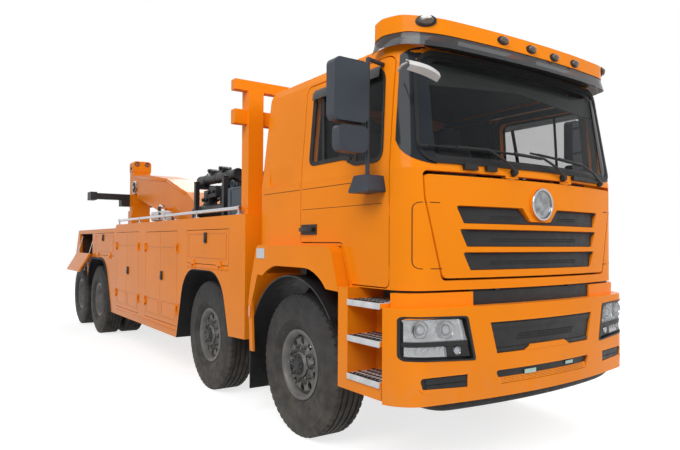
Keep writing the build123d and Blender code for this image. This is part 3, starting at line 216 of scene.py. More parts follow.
LENS = dict(tone_scale=60.0, grain=240.0, depth=0.0004, coat=0.8)
CASTING = dict(tone=0.3, grain=90.0, depth=0.0008)
WORN = {
    # material: colour, roughness, what differs from a common worn surface
    "paint": (ORANGE, 0.22, dict(tone=0.05, tone_scale=1.2, grain=140.0, depth=0.00008, dust=0.25, dust_top=0.95,
                                 coat=0.06, rough_spread=0.05, shine=0.05)),
    "frame_paint": ((0.035, 0.035, 0.038), 0.5, dict(dust=0.45, dust_top=1.5)),
    "engine_metal": ((0.16, 0.165, 0.17), 0.55, dict(CASTING, metal=0.6, dust=0.4)),
    "axle_metal": ((0.06, 0.06, 0.062), 0.6, dict(CASTING, metal=0.3, dust=0.6)),
    "spring_steel": ((0.09, 0.085, 0.08), 0.5, dict(metal=0.7, tone=0.3, dust=0.6)),
    "tyre_rubber": ((0.030, 0.030, 0.031), 0.72, dict(tone=0.3, tone_scale=5.0, grain=420.0, depth=0.0003,
                                                      dust=0.22, dust_top=1.15)),
    "black_plastic": ((0.018, 0.018, 0.019), 0.45, dict(tone=0.2, grain=700.0, depth=0.0003)),
    "slate_plastic": ((0.040, 0.047, 0.060), 0.42, dict(grain=650.0, depth=0.0003)),
    "chrome": ((0.50, 0.51, 0.53), 0.16, dict(metal=1.0, tone=0.05, grain=60.0, depth=0.00003, rough_spread=0.05)),
    "slate_paint": ((0.034, 0.056, 0.078), 0.38, dict(grain=160.0, coat=0.1, shine=0.15)),
    "rack_paint": ((0.022, 0.023, 0.026), 0.42, dict(tone=0.3, grain=200.0, depth=0.0003)),
    "rod_chrome": ((0.72, 0.73, 0.75), 0.08, dict(metal=1.0, tone=0.05, depth=0.00002, rough_spread=0.03)),
    "wheel_steel": ((0.115, 0.115, 0.115), 0.45, dict(metal=0.55, tone=0.25, tone_scale=9.0, dust=0.25,
                                                     dust_top=1.2)),
    "dark_glass": ((0.018, 0.022, 0.027), 0.10, dict(tone=0.1, grain=60.0, depth=0.00002, rough_spread=0.03,
                                                    shine=0.12)),
    "tread_alloy": ((0.58, 0.59, 0.60), 0.4, dict(metal=0.25, tone=0.15, tone_scale=14.0, depth=0.0003)),
    "lamp_chrome": ((0.30, 0.31, 0.32), 0.12, dict(metal=1.0, tone=0.35, tone_scale=22.0, grain=90.0, depth=0.0012,
                                                   rough_spread=0.05)),
    "alloy": ((0.55, 0.56, 0.57), 0.35, dict(metal=0.9, tone=0.15, tone_scale=14.0, depth=0.0003)),
    "mirror_silver": ((0.90, 0.91, 0.92), 0.03, dict(metal=1.0, tone=0.02, depth=0.00001, rough_spread=0.02)),
    "trim_grey": ((0.050, 0.055, 0.052), 0.7, dict(tone=0.1, grain=120.0, depth=0.00006)),
    "amber": ((0.80, 0.20, 0.02), 0.15, dict(LENS, tone=0.2)),
    "red_lens": ((0.45, 0.012, 0.012), 0.15, dict(LENS, tone=0.2)),
    "reflector": ((0.55, 0.58, 0.60), 0.25, dict(metal=0.3, tone_scale=90.0, grain=260.0, depth=0.0005)),
    "rubber": ((0.016, 0.016, 0.016), 0.62, dict(tone=0.2, grain=380.0, depth=0.0003)),
    "rope": ((0.30, 0.29, 0.27), 0.4, dict(metal=0.9, tone=0.3, tone_scale=40.0, grain=380.0, depth=0.0008)),
    "marker_lens": ((0.80, 0.78, 0.72), 0.12, dict(LENS, tone=0.1)),
    # darkened orange of the locker doors' pressed lines: painted shade in the pressings
    "press_line_shade": ((0.52, 0.125, 0.004), 0.4, dict(tone=0.08, depth=0.0001)),
    "dark_lens": ((0.085, 0.060, 0.050), 0.10, dict(LENS, tone=0.15, depth=0.0003)),
    "bulb_glass": ((0.30, 0.32, 0.34), 0.05, dict(metal=0.6, tone=0.1, tone_scale=60.0, depth=0.0001, coat=0.8)),
    "pale_green": ((0.42, 0.60, 0.54), 0.4, dict(tone=0.1, tone_scale=12.0, depth=0.0001)),
    "pale_plastic": ((0.62, 0.61, 0.60), 0.45, dict(tone=0.08, tone_scale=8.0, grain=500.0, depth=0.0003)),
    # near-black orange inside the lockers: painted shade
    "locker_painted_shade": ((0.060, 0.020, 0.010), 0.6, dict(tone=0.2)),
    # near-black orange of the cab's pressed lines: painted shade in their creases
    "groove": ((0.05, 0.018, 0.006), 0.7, dict(tone=0.2)),
}
OTHER = {
    # material: how it is made, and from what
    "glass": (clear_glass, (0.020, 0.025, 0.028), 0.20),
    "lamp_glass": (clear_glass, (0.82, 0.84, 0.86), 0.18),
    "smoked": (clear_glass, (0.05, 0.052, 0.055), 0.72, 0.08),
    "seat_fabric": (woven, (0.045, 0.046, 0.05)),
    "deck_paint": (chequer_plate,),
}
# Slots of the materials that aren't a slot of their own
MAT = {name: bpy.data.materials.new(name) for name in (*WORN, *OTHER)}
for name, (colour, rough, extra) in WORN.items():
    worn(Look(MAT[name]), colour, rough, **extra)
for name, (make, *values) in OTHER.items():
    make(Look(MAT[name]), *values)

for row in frame["record"]["subparts"]:
    shown = NODES[row["node"]]
    shown.data.materials.clear()
    shown.data.materials.append(MAT[row["material_slot"]])


# Mesh building


def joined(points):
    """A set of points with all points that edges join to them."""
    todo = list(points)
    while todo:
        for edge in todo.pop().link_edges:
            for vert in edge.verts:
                if vert not in points:
                    points.add(vert)
                    todo.append(vert)
    return list(points)


def as_mesh(name, bm):
    """Mesh data from finished bmesh work."""
    mesh = bpy.data.meshes.new(name)
    bm.to_mesh(mesh)
    bm.free()
    return mesh


class Shape:
    """Solid pieces gathered into one mesh, which becomes one scene piece."""

    def __init__(self):
        self.bm = bmesh.new()

    def move(self, matrix, verts=None):
        """Place some of the points, or all of them."""
        bmesh.ops.transform(self.bm, matrix=matrix, verts=verts or self.bm.verts)

    def soften(self, edges, offset):
        """Round edges off."""
        return bmesh.ops.bevel(self.bm, geom=list(dict.fromkeys(edges)), offset=offset, segments=2, profile=0.5,
                               affect="EDGES")["verts"]

    def box(self, centre, size, bevel=0.0, turn=None):
        """Block with softened edges."""
        made = bmesh.ops.create_cube(self.bm, size=1.0)["verts"]
        self.move(Matrix.Diagonal((*size, 1.0)), made)
        if bevel > 0:
            made = joined({self.soften([edge for vert in made for edge in vert.link_edges], bevel)[0]})
        place = Matrix.Translation(centre)
        self.move(place @ turn.to_4x4() if turn else place, made)
        return self

    def band(self, a, b):
        """Faces between two closed rings; a ring of one point is a tip."""
        steps = max(len(a), len(b))
        for s in range(steps):
            t = (s + 1) % steps
            if len(a) == 1:
                self.bm.faces.new((a[0], b[s], b[t]))
            elif len(b) == 1:
                self.bm.faces.new((a[s], b[0], a[t]))
            else:
                self.bm.faces.new((a[s], b[s], b[t], a[t]))

    def lathe(self, profile, centre, axis, steps=48):
        """Closed ring turned about an axis from (radius, along) rows; radius 0 closes the end."""
        place = Matrix.Translation(centre) @ Vector(axis).to_track_quat("Z", "Y").to_matrix().to_4x4()
        circle = turns(steps)
        rings = []
        for radius, along in profile:
            spots = [(radius * c, radius * s, along) for c, s in circle] if radius > 0 else [(0, 0, along)]
            rings.append([self.bm.verts.new(place @ Vector(spot)) for spot in spots])
        closed = len(rings[0]) > 1 and len(rings[-1]) > 1
        for a, b in zip(rings, rings[1:] + (rings[:1] if closed else [])):
            self.band(a, b)
        return self

    def cap(self, profile, centre, axis, steps=32):
        """Turned piece with flat ends from (radius, along) rows."""
        return self.lathe([(0, profile[0][1]), *profile, (0, profile[-1][1])], centre, axis, steps)

    def rod(self, start, end, radius, steps=20):
        """Round bar with eased ends."""
        way = Vector(end) - Vector(start)
        ease = radius * 0.15
        profile = [(radius - ease, 0), (radius, ease), (radius, way.length - ease), (radius - ease, way.length)]
        return self.cap(profile, start, way, steps)

    def tube(self, points, radius, steps=8):
        """Round bar bent along a line of points."""
        points = [Vector(point) for point in points]
        rings = []
        side = None
        for i, point in enumerate(points):
            ahead = (points[min(i + 1, len(points) - 1)] - points[max(i - 1, 0)]).normalized()
            if side is None:
                side = ahead.orthogonal().normalized()
            side = (side - ahead * side.dot(ahead)).normalized()
            other = ahead.cross(side)
            rings.append([self.bm.verts.new(point + side * radius * c + other * radius * s) for c, s in turns(steps)])
        for a, b in zip(rings, rings[1:]):
            self.band(a, b)
        self.bm.faces.new(list(reversed(rings[0])))
        self.bm.faces.new(rings[-1])
        return self

    def prism(self, outline, start, end, bevel):
        """Flat outline of points carried from one offset to another, with softened edges."""
        first, second = ([self.bm.verts.new(point + shift) for point in outline] for shift in (start, end))
        faces = [self.bm.faces.new(first), self.bm.faces.new(list(reversed(second)))]
        for i in range(len(outline)):
            self.bm.faces.new((first[i], first[i - 1], second[i - 1], second[i]))
        self.soften([edge for face in faces for edge in face.edges], bevel)
        return self

    def sheet(self, rows, lift, thick, loop=False):
        """Thin shell over a grid of (point, normal) rows, between two heights along the normals."""
        top = [[self.bm.verts.new(p + n * (lift + thick)) for p, n in row] for row in rows]
        low = [[self.bm.verts.new(p + n * lift) for p, n in row] for row in rows]
        count, last = len(rows), len(rows[0]) - 1
        face = self.bm.faces.new
        for i in range(count if loop else count - 1):
            k = (i + 1) % count
            for j in range(last):
                face((top[i][j], top[i][j + 1], top[k][j + 1], top[k][j]))
                face((low[i][j], low[k][j], low[k][j + 1], low[i][j + 1]))
            face((top[i][0], top[k][0], low[k][0], low[i][0]))
            face((top[i][last], low[i][last], low[k][last], top[k][last]))
        if not loop:
            for i in (0, count - 1):
                for j in range(last):
                    face((top[i][j], low[i][j], low[i][j + 1], top[i][j + 1]))
        return self

    def done(self, name, material, body="chassis", slot=None, crease=CREASE):
        """Finish the mesh as a scene piece that rides on a body."""
        bmesh.ops.recalc_face_normals(self.bm, faces=self.bm.faces)
        return as_piece(name, as_mesh(name, self.bm), material, body, crease)


def as_piece(name, mesh, material, body, crease=CREASE):
    """Scene piece from a mesh, smooth apart from its creases."""
    for face in mesh.polygons:
        face.use_smooth = True
    mesh.set_sharp_from_angle(angle=math.radians(crease))
    mesh.materials.append(MAT[material])
    piece = bpy.data.objects.new(name, mesh)
    bpy.context.scene.collection.objects.link(piece)
    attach(piece, body)
    return piece


# Helpers that lay pieces on the truck's surfaces

trees = {}


def probe(node, start, way):
    """First point and normal that a ray meets on a CAD node."""
    if node not in trees:
        mesh = NODES[node].data
        corners = [vert.co for vert in mesh.vertices]
        trees[node] = BVHTree.FromPolygons(corners, [tuple(face.vertices) for face in mesh.polygons])
    point, normal, _, _ = trees[node].ray_cast(Vector(start), Vector(way).normalized())
    if point is None:
        return None
    return point, -normal if normal.dot(Vector(way)) > 0 else normal


def nearest_hit(nodes, start, way):
    """The first of several nodes that a ray meets, or else the ray's point beside the first node's nearest edge."""
    start, way = Vector(start), Vector(way).normalized()
    hits = [hit for hit in (probe(node, start, way) for node in nodes) if hit]
    if hits:
        return min(hits, key=lambda hit: (hit[0] - start).length)
    spot = start
    for _ in range(6):
        near = trees[nodes[0]].find_nearest(spot)[0]
        spot = start + way * (near - start).dot(way)
    return spot, -way


def from_front(*nodes):
    """Finds the surface at a (y, z) spot seen from the front."""
    return lambda spot: nearest_hit(nodes, at(FAR, spot[0], spot[1]), -FORWARD)


def from_side(side, *nodes):
    """Finds the surface at an (x, z) spot seen from one side."""
    return lambda spot: nearest_hit(nodes, at(spot[0], side * FAR, spot[1]), LEFT * -side)


def from_inside(side, node):
    """Finds the surface at an (x, z) spot seen from the truck's middle."""
    return lambda spot: nearest_hit([node], at(spot[0], 0, spot[1]), LEFT * side)


def grid(cast, across, down):
    """Rows of surface points over two lists of places."""
    return [[cast((u, v)) for u in across] for v in down]


def quad(cast, corners, across, down, side=1):
    """Rows of surface points between four (u, v) corners, with u turned to one side."""
    (u0, v0), (u1, v1), (u2, v2), (u3, v3) = corners
    rows = []
    for t in spread(0, 1, down):
        row = []
        for s in spread(0, 1, across):
            u = (u0 + (u1 - u0) * s) * (1 - t) + (u3 + (u2 - u3) * s) * t
            v = (v0 + (v1 - v0) * s) * (1 - t) + (v3 + (v2 - v3) * s) * t
            row.append(cast((side * u, v)))
        rows.append(row)
    return rows


def rounded(corners, closed=True, gap=0.09):
    """Line of points through (u, v, radius) corners, rounded there and filled in along long runs."""
    count = len(corners)
    knees = []
    for i, (u, v, radius) in enumerate(corners):
        here = Vector((u, v))
        if radius == 0 or (not closed and i in (0, count - 1)):
            knees.append([here])
            continue
        before = here + (Vector(corners[i - 1][:2]) - here).normalized() * radius
        after = here + (Vector(corners[(i + 1) % count][:2]) - here).normalized() * radius
        knees.append([before * (1 - t) ** 2 + here * 2 * t * (1 - t) + after * t * t for t in spread(0, 1, 7)])
    points = []
    for i, knee in enumerate(knees):
        points += knee
        if not closed and i == count - 1:
            break
        ahead = knees[(i + 1) % count][0]
        runs = max(1, int((ahead - knee[-1]).length / gap))
        points += [knee[-1].lerp(ahead, k / runs) for k in range(1, runs)]
    return points


def ribbon(shape, path, first, last, cast, lift, thick, closed=True):
    """Strip along a path on a surface, between two offsets to the left of the path."""
    rows = []
    count = len(path)
    for i, spot in enumerate(path):
        after = path[(i + 1) % count] if closed else path[min(i + 1, count - 1)]
        before = path[i - 1] if closed else path[max(i - 1, 0)]
        along = (after - before).normalized()
        left = Vector((-along.y, along.x))
        rows.append([cast(spot + left * first), cast(spot + left * last)])
    shape.sheet(rows, lift, thick, closed)


SEAM_LIFT, SEAM_THICK = 0.0004, 0.0008


def seam(shape, path, half, cast):
    """Fine line along an open path on a surface."""
    ribbon(shape, path, -half, half, cast, SEAM_LIFT, SEAM_THICK, False)


def level(first, last, z, count):
    """Level path along the truck's side."""
    return [Vector((x, z)) for x in spread(first, last, count)]


def raised(cast, spot, rise):
    """Surface point lifted along its normal, with the normal."""
    point, normal = cast(spot)
    return point + normal * rise, normal


PAD_CUTS = 11
PAD_CORNERS = 0.42  # the smaller, the squarer
CHANNEL_HALF, CHANNEL_DEEP = 0.05, 0.14  # parts of a pad's half width and height


def cushion(name, centre, size, turn=None, channels=0):
    """Stuffed pad: crowned faces, pulled-in corners and sewn channels across its width."""
    shape = bmesh.new()
    bmesh.ops.create_cube(shape, size=2.0)
    bmesh.ops.subdivide_edges(shape, edges=shape.edges, cuts=PAD_CUTS, use_grid_fill=True)
    for vert in shape.verts:
        spot = Vector([math.copysign(abs(c) ** PAD_CORNERS, c) for c in vert.co.normalized()])
        if channels:
            dip = max(math.exp(-((spot.x - x) / CHANNEL_HALF) ** 2) for x in spread(-0.5, 0.5, channels))
            spot.z *= 1 - CHANNEL_DEEP * dip
        spot = Vector([c * s / 2 for c, s in zip(spot, size)])
        vert.co = centre + (turn @ spot if turn else spot)
    piece = as_piece(name, as_mesh(name, shape), "seat_fabric", "chassis", crease=60.0)
    piece.modifiers.new("soften", "SUBSURF").render_levels = 1


# Wheels: tyres with tread, rims from the frame's own solids, studs and hub caps

SHOULDER_LUGS = 54
LUG_STEPS = 4
LUG_DEEP = 0.011
RIB_GROOVES = (-0.074, -0.026, 0.026, 0.074)
GROOVE_HALF = 0.006
GROOVE_DEEP = 0.013
RIM_REACH = 0.40  # points further out belong to the tyres
STUDS = 10
CAP_BOLTS = 8
TYRE_WALL = (
    # radius, along: bead to shoulder
    (0.258, 0.112), (0.278, 0.114), (0.300, 0.130), (0.325, 0.145), (0.345, 0.1515), (0.349, 0.1540),
    (0.356, 0.1540), (0.360, 0.1530), (0.400, 0.1560), (0.440, 0.1545), (0.470, 0.1500), (0.474, 0.1515),
    (0.482, 0.1505), (0.487, 0.1470),
)
TYRE_LUGS = ((0.510, 0.1405), (0.532, 0.1325), (0.547, 0.127), (TYRE_R - 0.0005, 0.116), (TYRE_R, 0.098))
NUT = ((0.023, 0), (0.023, 0.003), (0.0165, 0.004), (0.0165, 0.022), (0.0145, 0.026))


def tyre_profile():
    """(radius, along, lug) rows round a tyre's section, from the outer bead over the tread to the inner bead."""
    half = [(r, y, False) for r, y in TYRE_WALL] + [(r, y, True) for r, y in TYRE_LUGS]
    tread = []
    for groove in reversed(RIB_GROOVES):
        for shift, drop in ((1.5, 0), (1.0, GROOVE_DEEP), (-1.0, GROOVE_DEEP), (-1.5, 0)):
            tread.append((TYRE_R - drop, groove + shift * GROOVE_HALF, False))
    return half + tread + [(r, -y, lug) for r, y, lug in reversed(half)]


def tyre_mesh(centre, side):
    """Tyre with rib grooves and notched shoulders."""
    shape = Shape()
    circle = turns(SHOULDER_LUGS * LUG_STEPS)
    rings = []
    for radius, along, lug in tyre_profile():
        ring = []
        for step, (c, s) in enumerate(circle):
            r = radius - (LUG_DEEP if lug and step % LUG_STEPS == 0 else 0.0)
            ring.append(shape.bm.verts.new(centre + Vector((r * s, side * along, r * c))))
        rings.append(ring)
    for a, b in zip(rings, rings[1:] + rings[:1]):
        shape.band(a, b)
    bmesh.ops.recalc_face_normals(shape.bm, faces=shape.bm.faces)
    return as_mesh("tyre", shape.bm)


def rim_mesh(node, centre):
    """The wheel node's own steel: its solids without the tyres."""
    shape = bmesh.new()
    shape.from_mesh(NODES[node].data)
    bmesh.ops.remove_doubles(shape, verts=shape.verts, dist=1e-5)
    outer = {v for v in shape.verts if math.hypot(v.co.x - centre.x, v.co.z - centre.z) > RIM_REACH}
    bmesh.ops.delete(shape, geom=joined(outer), context="VERTS")
    return as_mesh("rim", shape)


def wheel(node, side, tyre_y, stud_face, stud_r, cap_r, cap_face):
    """All pieces of one wheel body; offsets are measured outward from the truck's middle."""
    tag = node[6:]
    centre = Vector((middle(node).x, 0, TYRE_R))
    out = LEFT * side
    for n, y in enumerate(tyre_y):
        tyre = as_piece(f"tyre_{tag}_{n + 1}", tyre_mesh(centre + out * y, side), "tyre_rubber", node, crease=28.0)
        if n == 0:
            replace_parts(tyre, node)
    as_piece("rim_" + tag, rim_mesh(node, centre), "wheel_steel", node)
    nuts = Shape()
    for c, s in turns(STUDS):
        foot = centre + Vector((stud_r * c, side * stud_face, stud_r * s))
        nuts.cap(NUT, foot, out, 6)
        nuts.rod(foot + out * 0.024, foot + out * 0.046, 0.0105, 10)
    nuts.done("wheel_nuts_" + tag, "wheel_steel", node, crease=30.0)
    cap = Shape()
    face = centre + out * cap_face
    rings = [(0, 0.020), (cap_r * 0.45, 0.019), (cap_r * 0.5, 0.014), (cap_r * 0.82, 0.012), (cap_r * 0.92, 0.004),
             (cap_r, 0.0), (0, 0)]
    cap.lathe(rings, face, out, 40)
    for c, s in turns(CAP_BOLTS, 0.5):
        spot = face + Vector((cap_r * 0.72 * c, 0, cap_r * 0.72 * s))
        cap.rod(spot + out * 0.010, spot + out * 0.019, 0.008, 6)
    valve = ((0.20, -0.015, 0.03), (0.205, 0.035, 0.032))
    cap.rod(*(centre + Vector((x, side * (stud_face + push), z)) for x, push, z in valve), 0.005, 8)
    cap.done("hub_cap_" + tag, "black_plastic", node, "axle_metal")


FRONT_TRACK = 1.018
TWIN_OUTER = 1.084
TWIN_SPACING = 0.346
SINGLE = ([FRONT_TRACK], FRONT_TRACK + 0.088, 0.141, 0.086, FRONT_TRACK + 0.128)
TWIN = ([TWIN_OUTER, TWIN_OUTER - TWIN_SPACING], TWIN_OUTER - 0.157, 0.150, 0.100, TWIN_OUTER - 0.022)
for word, side in SIDES:
    for axle, sizes in ((1, SINGLE), (2, SINGLE), (3, TWIN), (4, TWIN)):
        wheel(f"wheel_axle{axle}_{word}", side, *sizes)


# Front lid: louvres in its three openings with black slits on them that are painted shade in their holes, and a bare
# chrome badge seat

LID_SLOTS = (
    # top z, low z, half width at top, half width at low edge
    (1.755, 1.640, 0.778, 0.716),
    (1.605, 1.490, 0.750, 0.690),
    (1.455, 1.338, 0.723, 0.663),
)
SLOT_EDGE = 0.004
LOUVRE_RISE = 0.022
NOTCH_TOP, NOTCH_LOW, NOTCH_DEEP = 0.190, 0.110, 0.092  # the first opening's gap for the badge
NOTCH_ROOM = 0.012
SLIT_TURN = Matrix.Rotation(-0.6, 3, "X")
SLIT_STEP = 0.0075  # half of the way between the two rows of slits
lid_face = from_front("front_lid")


def louvre(shape, y_top, y_low, z_top, z_low, slot, columns):
    """Sloping plate on an opening's floor, further out towards its lower edge."""
    slot_top, slot_low = slot
    rows = []
    for t in spread(0, 1, 5):
        z = z_top + (z_low - z_top) * t
        rise = LOUVRE_RISE * (slot_top - z) / (slot_top - slot_low)
        ends = [a + (b - a) * t for a, b in zip(y_top, y_low)]
        rows.append([raised(lid_face, (y, z), rise) for y in spread(*ends, columns)])
    shape.sheet(rows, 0.001, 0.004)


louvres, vents = Shape(), Shape()
for index, (top, low, half_top, half_low) in enumerate(LID_SLOTS):
    half_top, half_low = half_top - SLOT_EDGE, half_low - SLOT_EDGE
    top_in, low_in = top - SLOT_EDGE, low + SLOT_EDGE
    if index > 0:
        louvre(louvres, (-half_top, half_top), (-half_low, half_low), top_in, low_in, (top, low), 33)
    else:
        bend = top - NOTCH_DEEP - SLOT_EDGE
        half_bend = half_top + (half_low - half_top) * (top_in - bend) / (top_in - low_in)
        for way in WAYS:
            upper = (way * half_top, way * (NOTCH_TOP + NOTCH_ROOM))
            lower = (way * half_bend, way * (NOTCH_LOW + NOTCH_ROOM))
            louvre(louvres, upper, lower, top_in, bend, (top, low), 17)
        louvre(louvres, (-half_bend, half_bend), (-half_low, half_low), bend - 0.002, low_in, (top, low), 33)
    # Black slits on the louvres: painted shade in the holes of their perforated strips
    for y in spread(-0.47, 0.45, 58):
        if index == 0 and abs(y) < NOTCH_TOP + 0.02:
            continue
        for drop in (-SLIT_STEP, SLIT_STEP):
            z = top - 0.62 * (top - low) + drop
            rise = LOUVRE_RISE * (top - z) / (top - low) + 0.0052
            vents.box(raised(lid_face, (y + drop * 0.9, z), rise)[0], (0.0022, 0.0075, 0.011), turn=SLIT_TURN)
louvres.done("lid_louvres", "black_plastic", "front_lid")
vents.done("lid_vent_slit_shade", "rubber", "front_lid")
BADGE = at(1.412, 0.0, 1.787)
BADGE_RING = ((0.1150, 0.0), (0.1150, 0.006), (0.1125, 0.0105), (0.1060, 0.012), (0.1005, 0.010), (0.0985, 0.004),
              (0.0980, 0.0))
BADGE_DOME = ((0, 0.0005), (0.097, 0.0005), (0.097, 0.001), (0.092, 0.004), (0.070, 0.008), (0.040, 0.0105),
              (0, 0.0115))
Shape().lathe(BADGE_RING, BADGE, FORWARD, 64).done("badge_ring", "chrome", "front_lid")
Shape().lathe(BADGE_DOME, BADGE, FORWARD, 64).done("badge_blank", "lamp_chrome", "front_lid")

# Lines pressed into the cab: corner flaps in front and a fold along each side, drawn as near-black orange strips that
# are painted shade in the creases

FOLD_Z = 1.925
FLAP = ((0.90, 1.768, 0), (1.078, 1.768, 0.05), (1.078, 1.352, 0.05), (0.884, 1.352, 0))
lines = Shape()
cab_face = from_front("cab_shell", "front_lid")
for side in WAYS:
    seam(lines, rounded([(side * y, z, r) for y, z, r in FLAP], False, 0.05), 0.0025, cab_face)
    seam(lines, level(-0.60, 0.02, FOLD_Z, 8), 0.002, from_side(side, "cab_shell"))
lines.done("cab_panel_line_shade", "groove")
for word, side in SIDES:
    body = "cab_door_" + word
    fold = Shape()
    seam(fold, level(0.06, 0.84, FOLD_Z, 8), 0.002, from_side(side, body))
    seam(fold, level(0.06, 1.05, 1.767, 10), 0.0015, from_side(side, body))
    # near-black orange strips: painted shade in the door's pressed lines
    fold.done("door_fold_shade_" + word, "groove", body)

# Windscreen: rubber seal, dark glass border, wipers and cowl blocks

SCREEN = [(-1.035, 2.035, 0.13), (-0.985, 2.748, 0.15), (0.985, 2.748, 0.15), (1.035, 2.035, 0.13)]
SCREEN_MID = 2.39
screen_face = from_front("windscreen", "cab_shell")
seal, border = Shape(), Shape()
ribbon(seal, rounded(SCREEN, True, 0.07), -0.012, 0.016, screen_face, -0.002, 0.014)
seal.done("windscreen_seal", "rubber")
glass_face = from_front("windscreen")
outer = rounded([(y * 0.985, SCREEN_MID + (z - SCREEN_MID) * 0.975, r) for y, z, r in SCREEN], True, 0.07)
inner = [Vector((p.x * 0.955, SCREEN_MID + (p.y - SCREEN_MID) * 0.915)) for p in outer]
border.sheet([[glass_face(a), glass_face(b)] for a, b in zip(outer, inner)], 0.0004, 0.0012, True)
border.done("windscreen_border", "black_plastic")

WIPERS = (
    # blade start, blade end, pivot
    ((-1.035, 2.118), (-0.520, 2.119), (-0.287, 1.992)),
    ((-0.596, 2.124), (0.008, 2.105), (0.253, 1.990)),
    ((-0.105, 2.138), (0.484, 2.102), (0.810, 1.990)),
)
wipers = Shape()
for start, end, pivot in WIPERS:
    blade = [screen_face(Vector(start).lerp(Vector(end), t)) for t in spread(0, 1, 9)]
    wipers.tube([p + n * 0.030 for p, n in blade], 0.0075)
    wipers.tube([p + n * 0.042 for p, n in blade[1:-1]], 0.0055)
    for p, n in blade[1::2]:
        wipers.box(p + n * 0.036, (0.012, 0.022, 0.014), 0.003)
    foot, normal = from_front("cab_shell")(pivot)
    tip, tip_normal = blade[-1]
    knee = (foot + normal * 0.03).lerp(tip + tip_normal * 0.045, 0.55) + FORWARD * 0.022
    hold = blade[4][0] + blade[4][1] * 0.050
    wipers.tube([foot + normal * 0.028, knee, tip + tip_normal * 0.048, hold], 0.009)
    wipers.lathe([(0, 0.0), (0.026, 0.0), (0.026, 0.022), (0.018, 0.036), (0, 0.038)], foot, normal, 20)
wipers.done("wipers", "black_plastic", crease=40.0)
cowl = Shape()
for y0, y1, top in ((-0.724, -0.618, 2.022), (-0.542, -0.454, 2.014), (0.378, 0.755, 2.012)):
    cowl.sheet(grid(cab_face, spread(y0, y1, 7), (top, 1.985)), 0.0, 0.028)
cowl.done("cowl_blocks", "black_plastic")

# Dark glass edges that carry the windscreen round to the doors

WRAP_START, WRAP_SWEEP = 8, 54  # degrees from straight ahead
WRAP_LOW, WRAP_HIGH = 2.012, 2.790
wraps_round = Shape()
for side in WAYS:
    rows = []
    for t in spread(0, 1, 9):
        a = math.radians(WRAP_START + WRAP_SWEEP * t)
        out = Vector((math.cos(a), side * math.sin(a), 0))
        low = WRAP_LOW + 0.19 * (1 - math.sqrt(1 - (0.98 * t) ** 2))
        high = WRAP_HIGH - 0.06 * t * t
        starts = [at(1.02, side * 0.88, z) + out * FAR for z in spread(low, high, 15)]
        rows.append([nearest_hit(["cab_shell", "windscreen"], start, -out) for start in starts])
    wraps_round.sheet(rows, 0.0, 0.004)
wraps_round.done("windscreen_wraps", "dark_glass", crease=SOFT_CREASE)

# Sun visor: smoked strip, a black sheet under its rim that is painted shadow, and marker lamps on its face

VISOR_LOW = ((0.80, 2.820), (1.00, 2.872), (1.18, 2.868), (1.50, 2.808))
STRIP = ((-0.030, -0.012), (0.0, -0.008), (0.045, 0.006), (0.088, 0.018))
# drop and reach back of the black sheet under the rim, which is painted shadow
VISOR_SHADOW_SHEET = ((0.030, 0.050), (0.045, 0.120), (0.050, 0.210))
VISOR_SWEEP = 88  # degrees to each side
VISOR_ENDS = 12  # steps left out at each end of the black sheet of painted shadow under the rim
FOOT_WIDE, DARK_WIDE, PALE_WIDE = 1.75, 1.6, 1.8  # how far the lamps on it are stretched


def visor_low(x):
    """Height of the visor's lower rim at a place along the truck."""
    for (x0, z0), (x1, z1) in zip(VISOR_LOW, VISOR_LOW[1:]):
        if x <= x1:
            return z0 + (z1 - z0) * (x - x0) / (x1 - x0)
    return VISOR_LOW[-1][1]


strip_rows, shadow_sheet_rows = [], []
for angle in spread(-VISOR_SWEEP, VISOR_SWEEP, 61):
    a = math.radians(angle)
    out = Vector((math.cos(a), math.sin(a), 0))
    point, normal = nearest_hit(["sun_visor"], at(0.90, 0.62 * math.sin(a), 2.884) + out * FAR, -out)
    out = Vector((normal.x, normal.y, 0)).normalized()
    rim = visor_low(point.x - AXLE1_X)
    strip_rows.append([(Vector((point.x, point.y, rim - drop)) + out * push, out) for drop, push in STRIP])
    shadow_sheet_rows.append([(Vector((point.x, point.y, rim - drop)) - out * back, -UP) for drop, back in VISOR_SHADOW_SHEET])
# Black sheet under the visor rim: painted shadow where the visor shades the cab front
Shape().sheet(shadow_sheet_rows[VISOR_ENDS:-VISOR_ENDS], 0.0, 0.004).done("visor_painted_shadow", "black_plastic")
Shape().sheet(strip_rows, -0.0025, 0.005).done("visor_strip", "smoked", crease=SOFT_CREASE)
VISOR_LAMPS = (
    # y, z, radius, pale lens
    (-0.971, 2.925, 0.036, True),
    (-0.385, 2.880, 0.027, False),
    (-0.107, 2.868, 0.027, False),
    (0.155, 2.860, 0.027, False),
    (0.420, 2.866, 0.027, False),
    (0.971, 2.925, 0.036, True),
)


def oval(shape, profile, point, normal, wide):
    """Turned piece on a surface, stretched along the truck's width."""
    first = len(shape.bm.verts)
    shape.lathe(profile, (0, 0, 0), FORWARD, 28)
    shape.bm.verts.ensure_lookup_table()
    turn = normal.to_track_quat("X", "Z").to_matrix().to_4x4()
    shape.move(Matrix.Translation(point) @ turn @ Matrix.Diagonal((1, wide, 1, 1)), shape.bm.verts[first:])


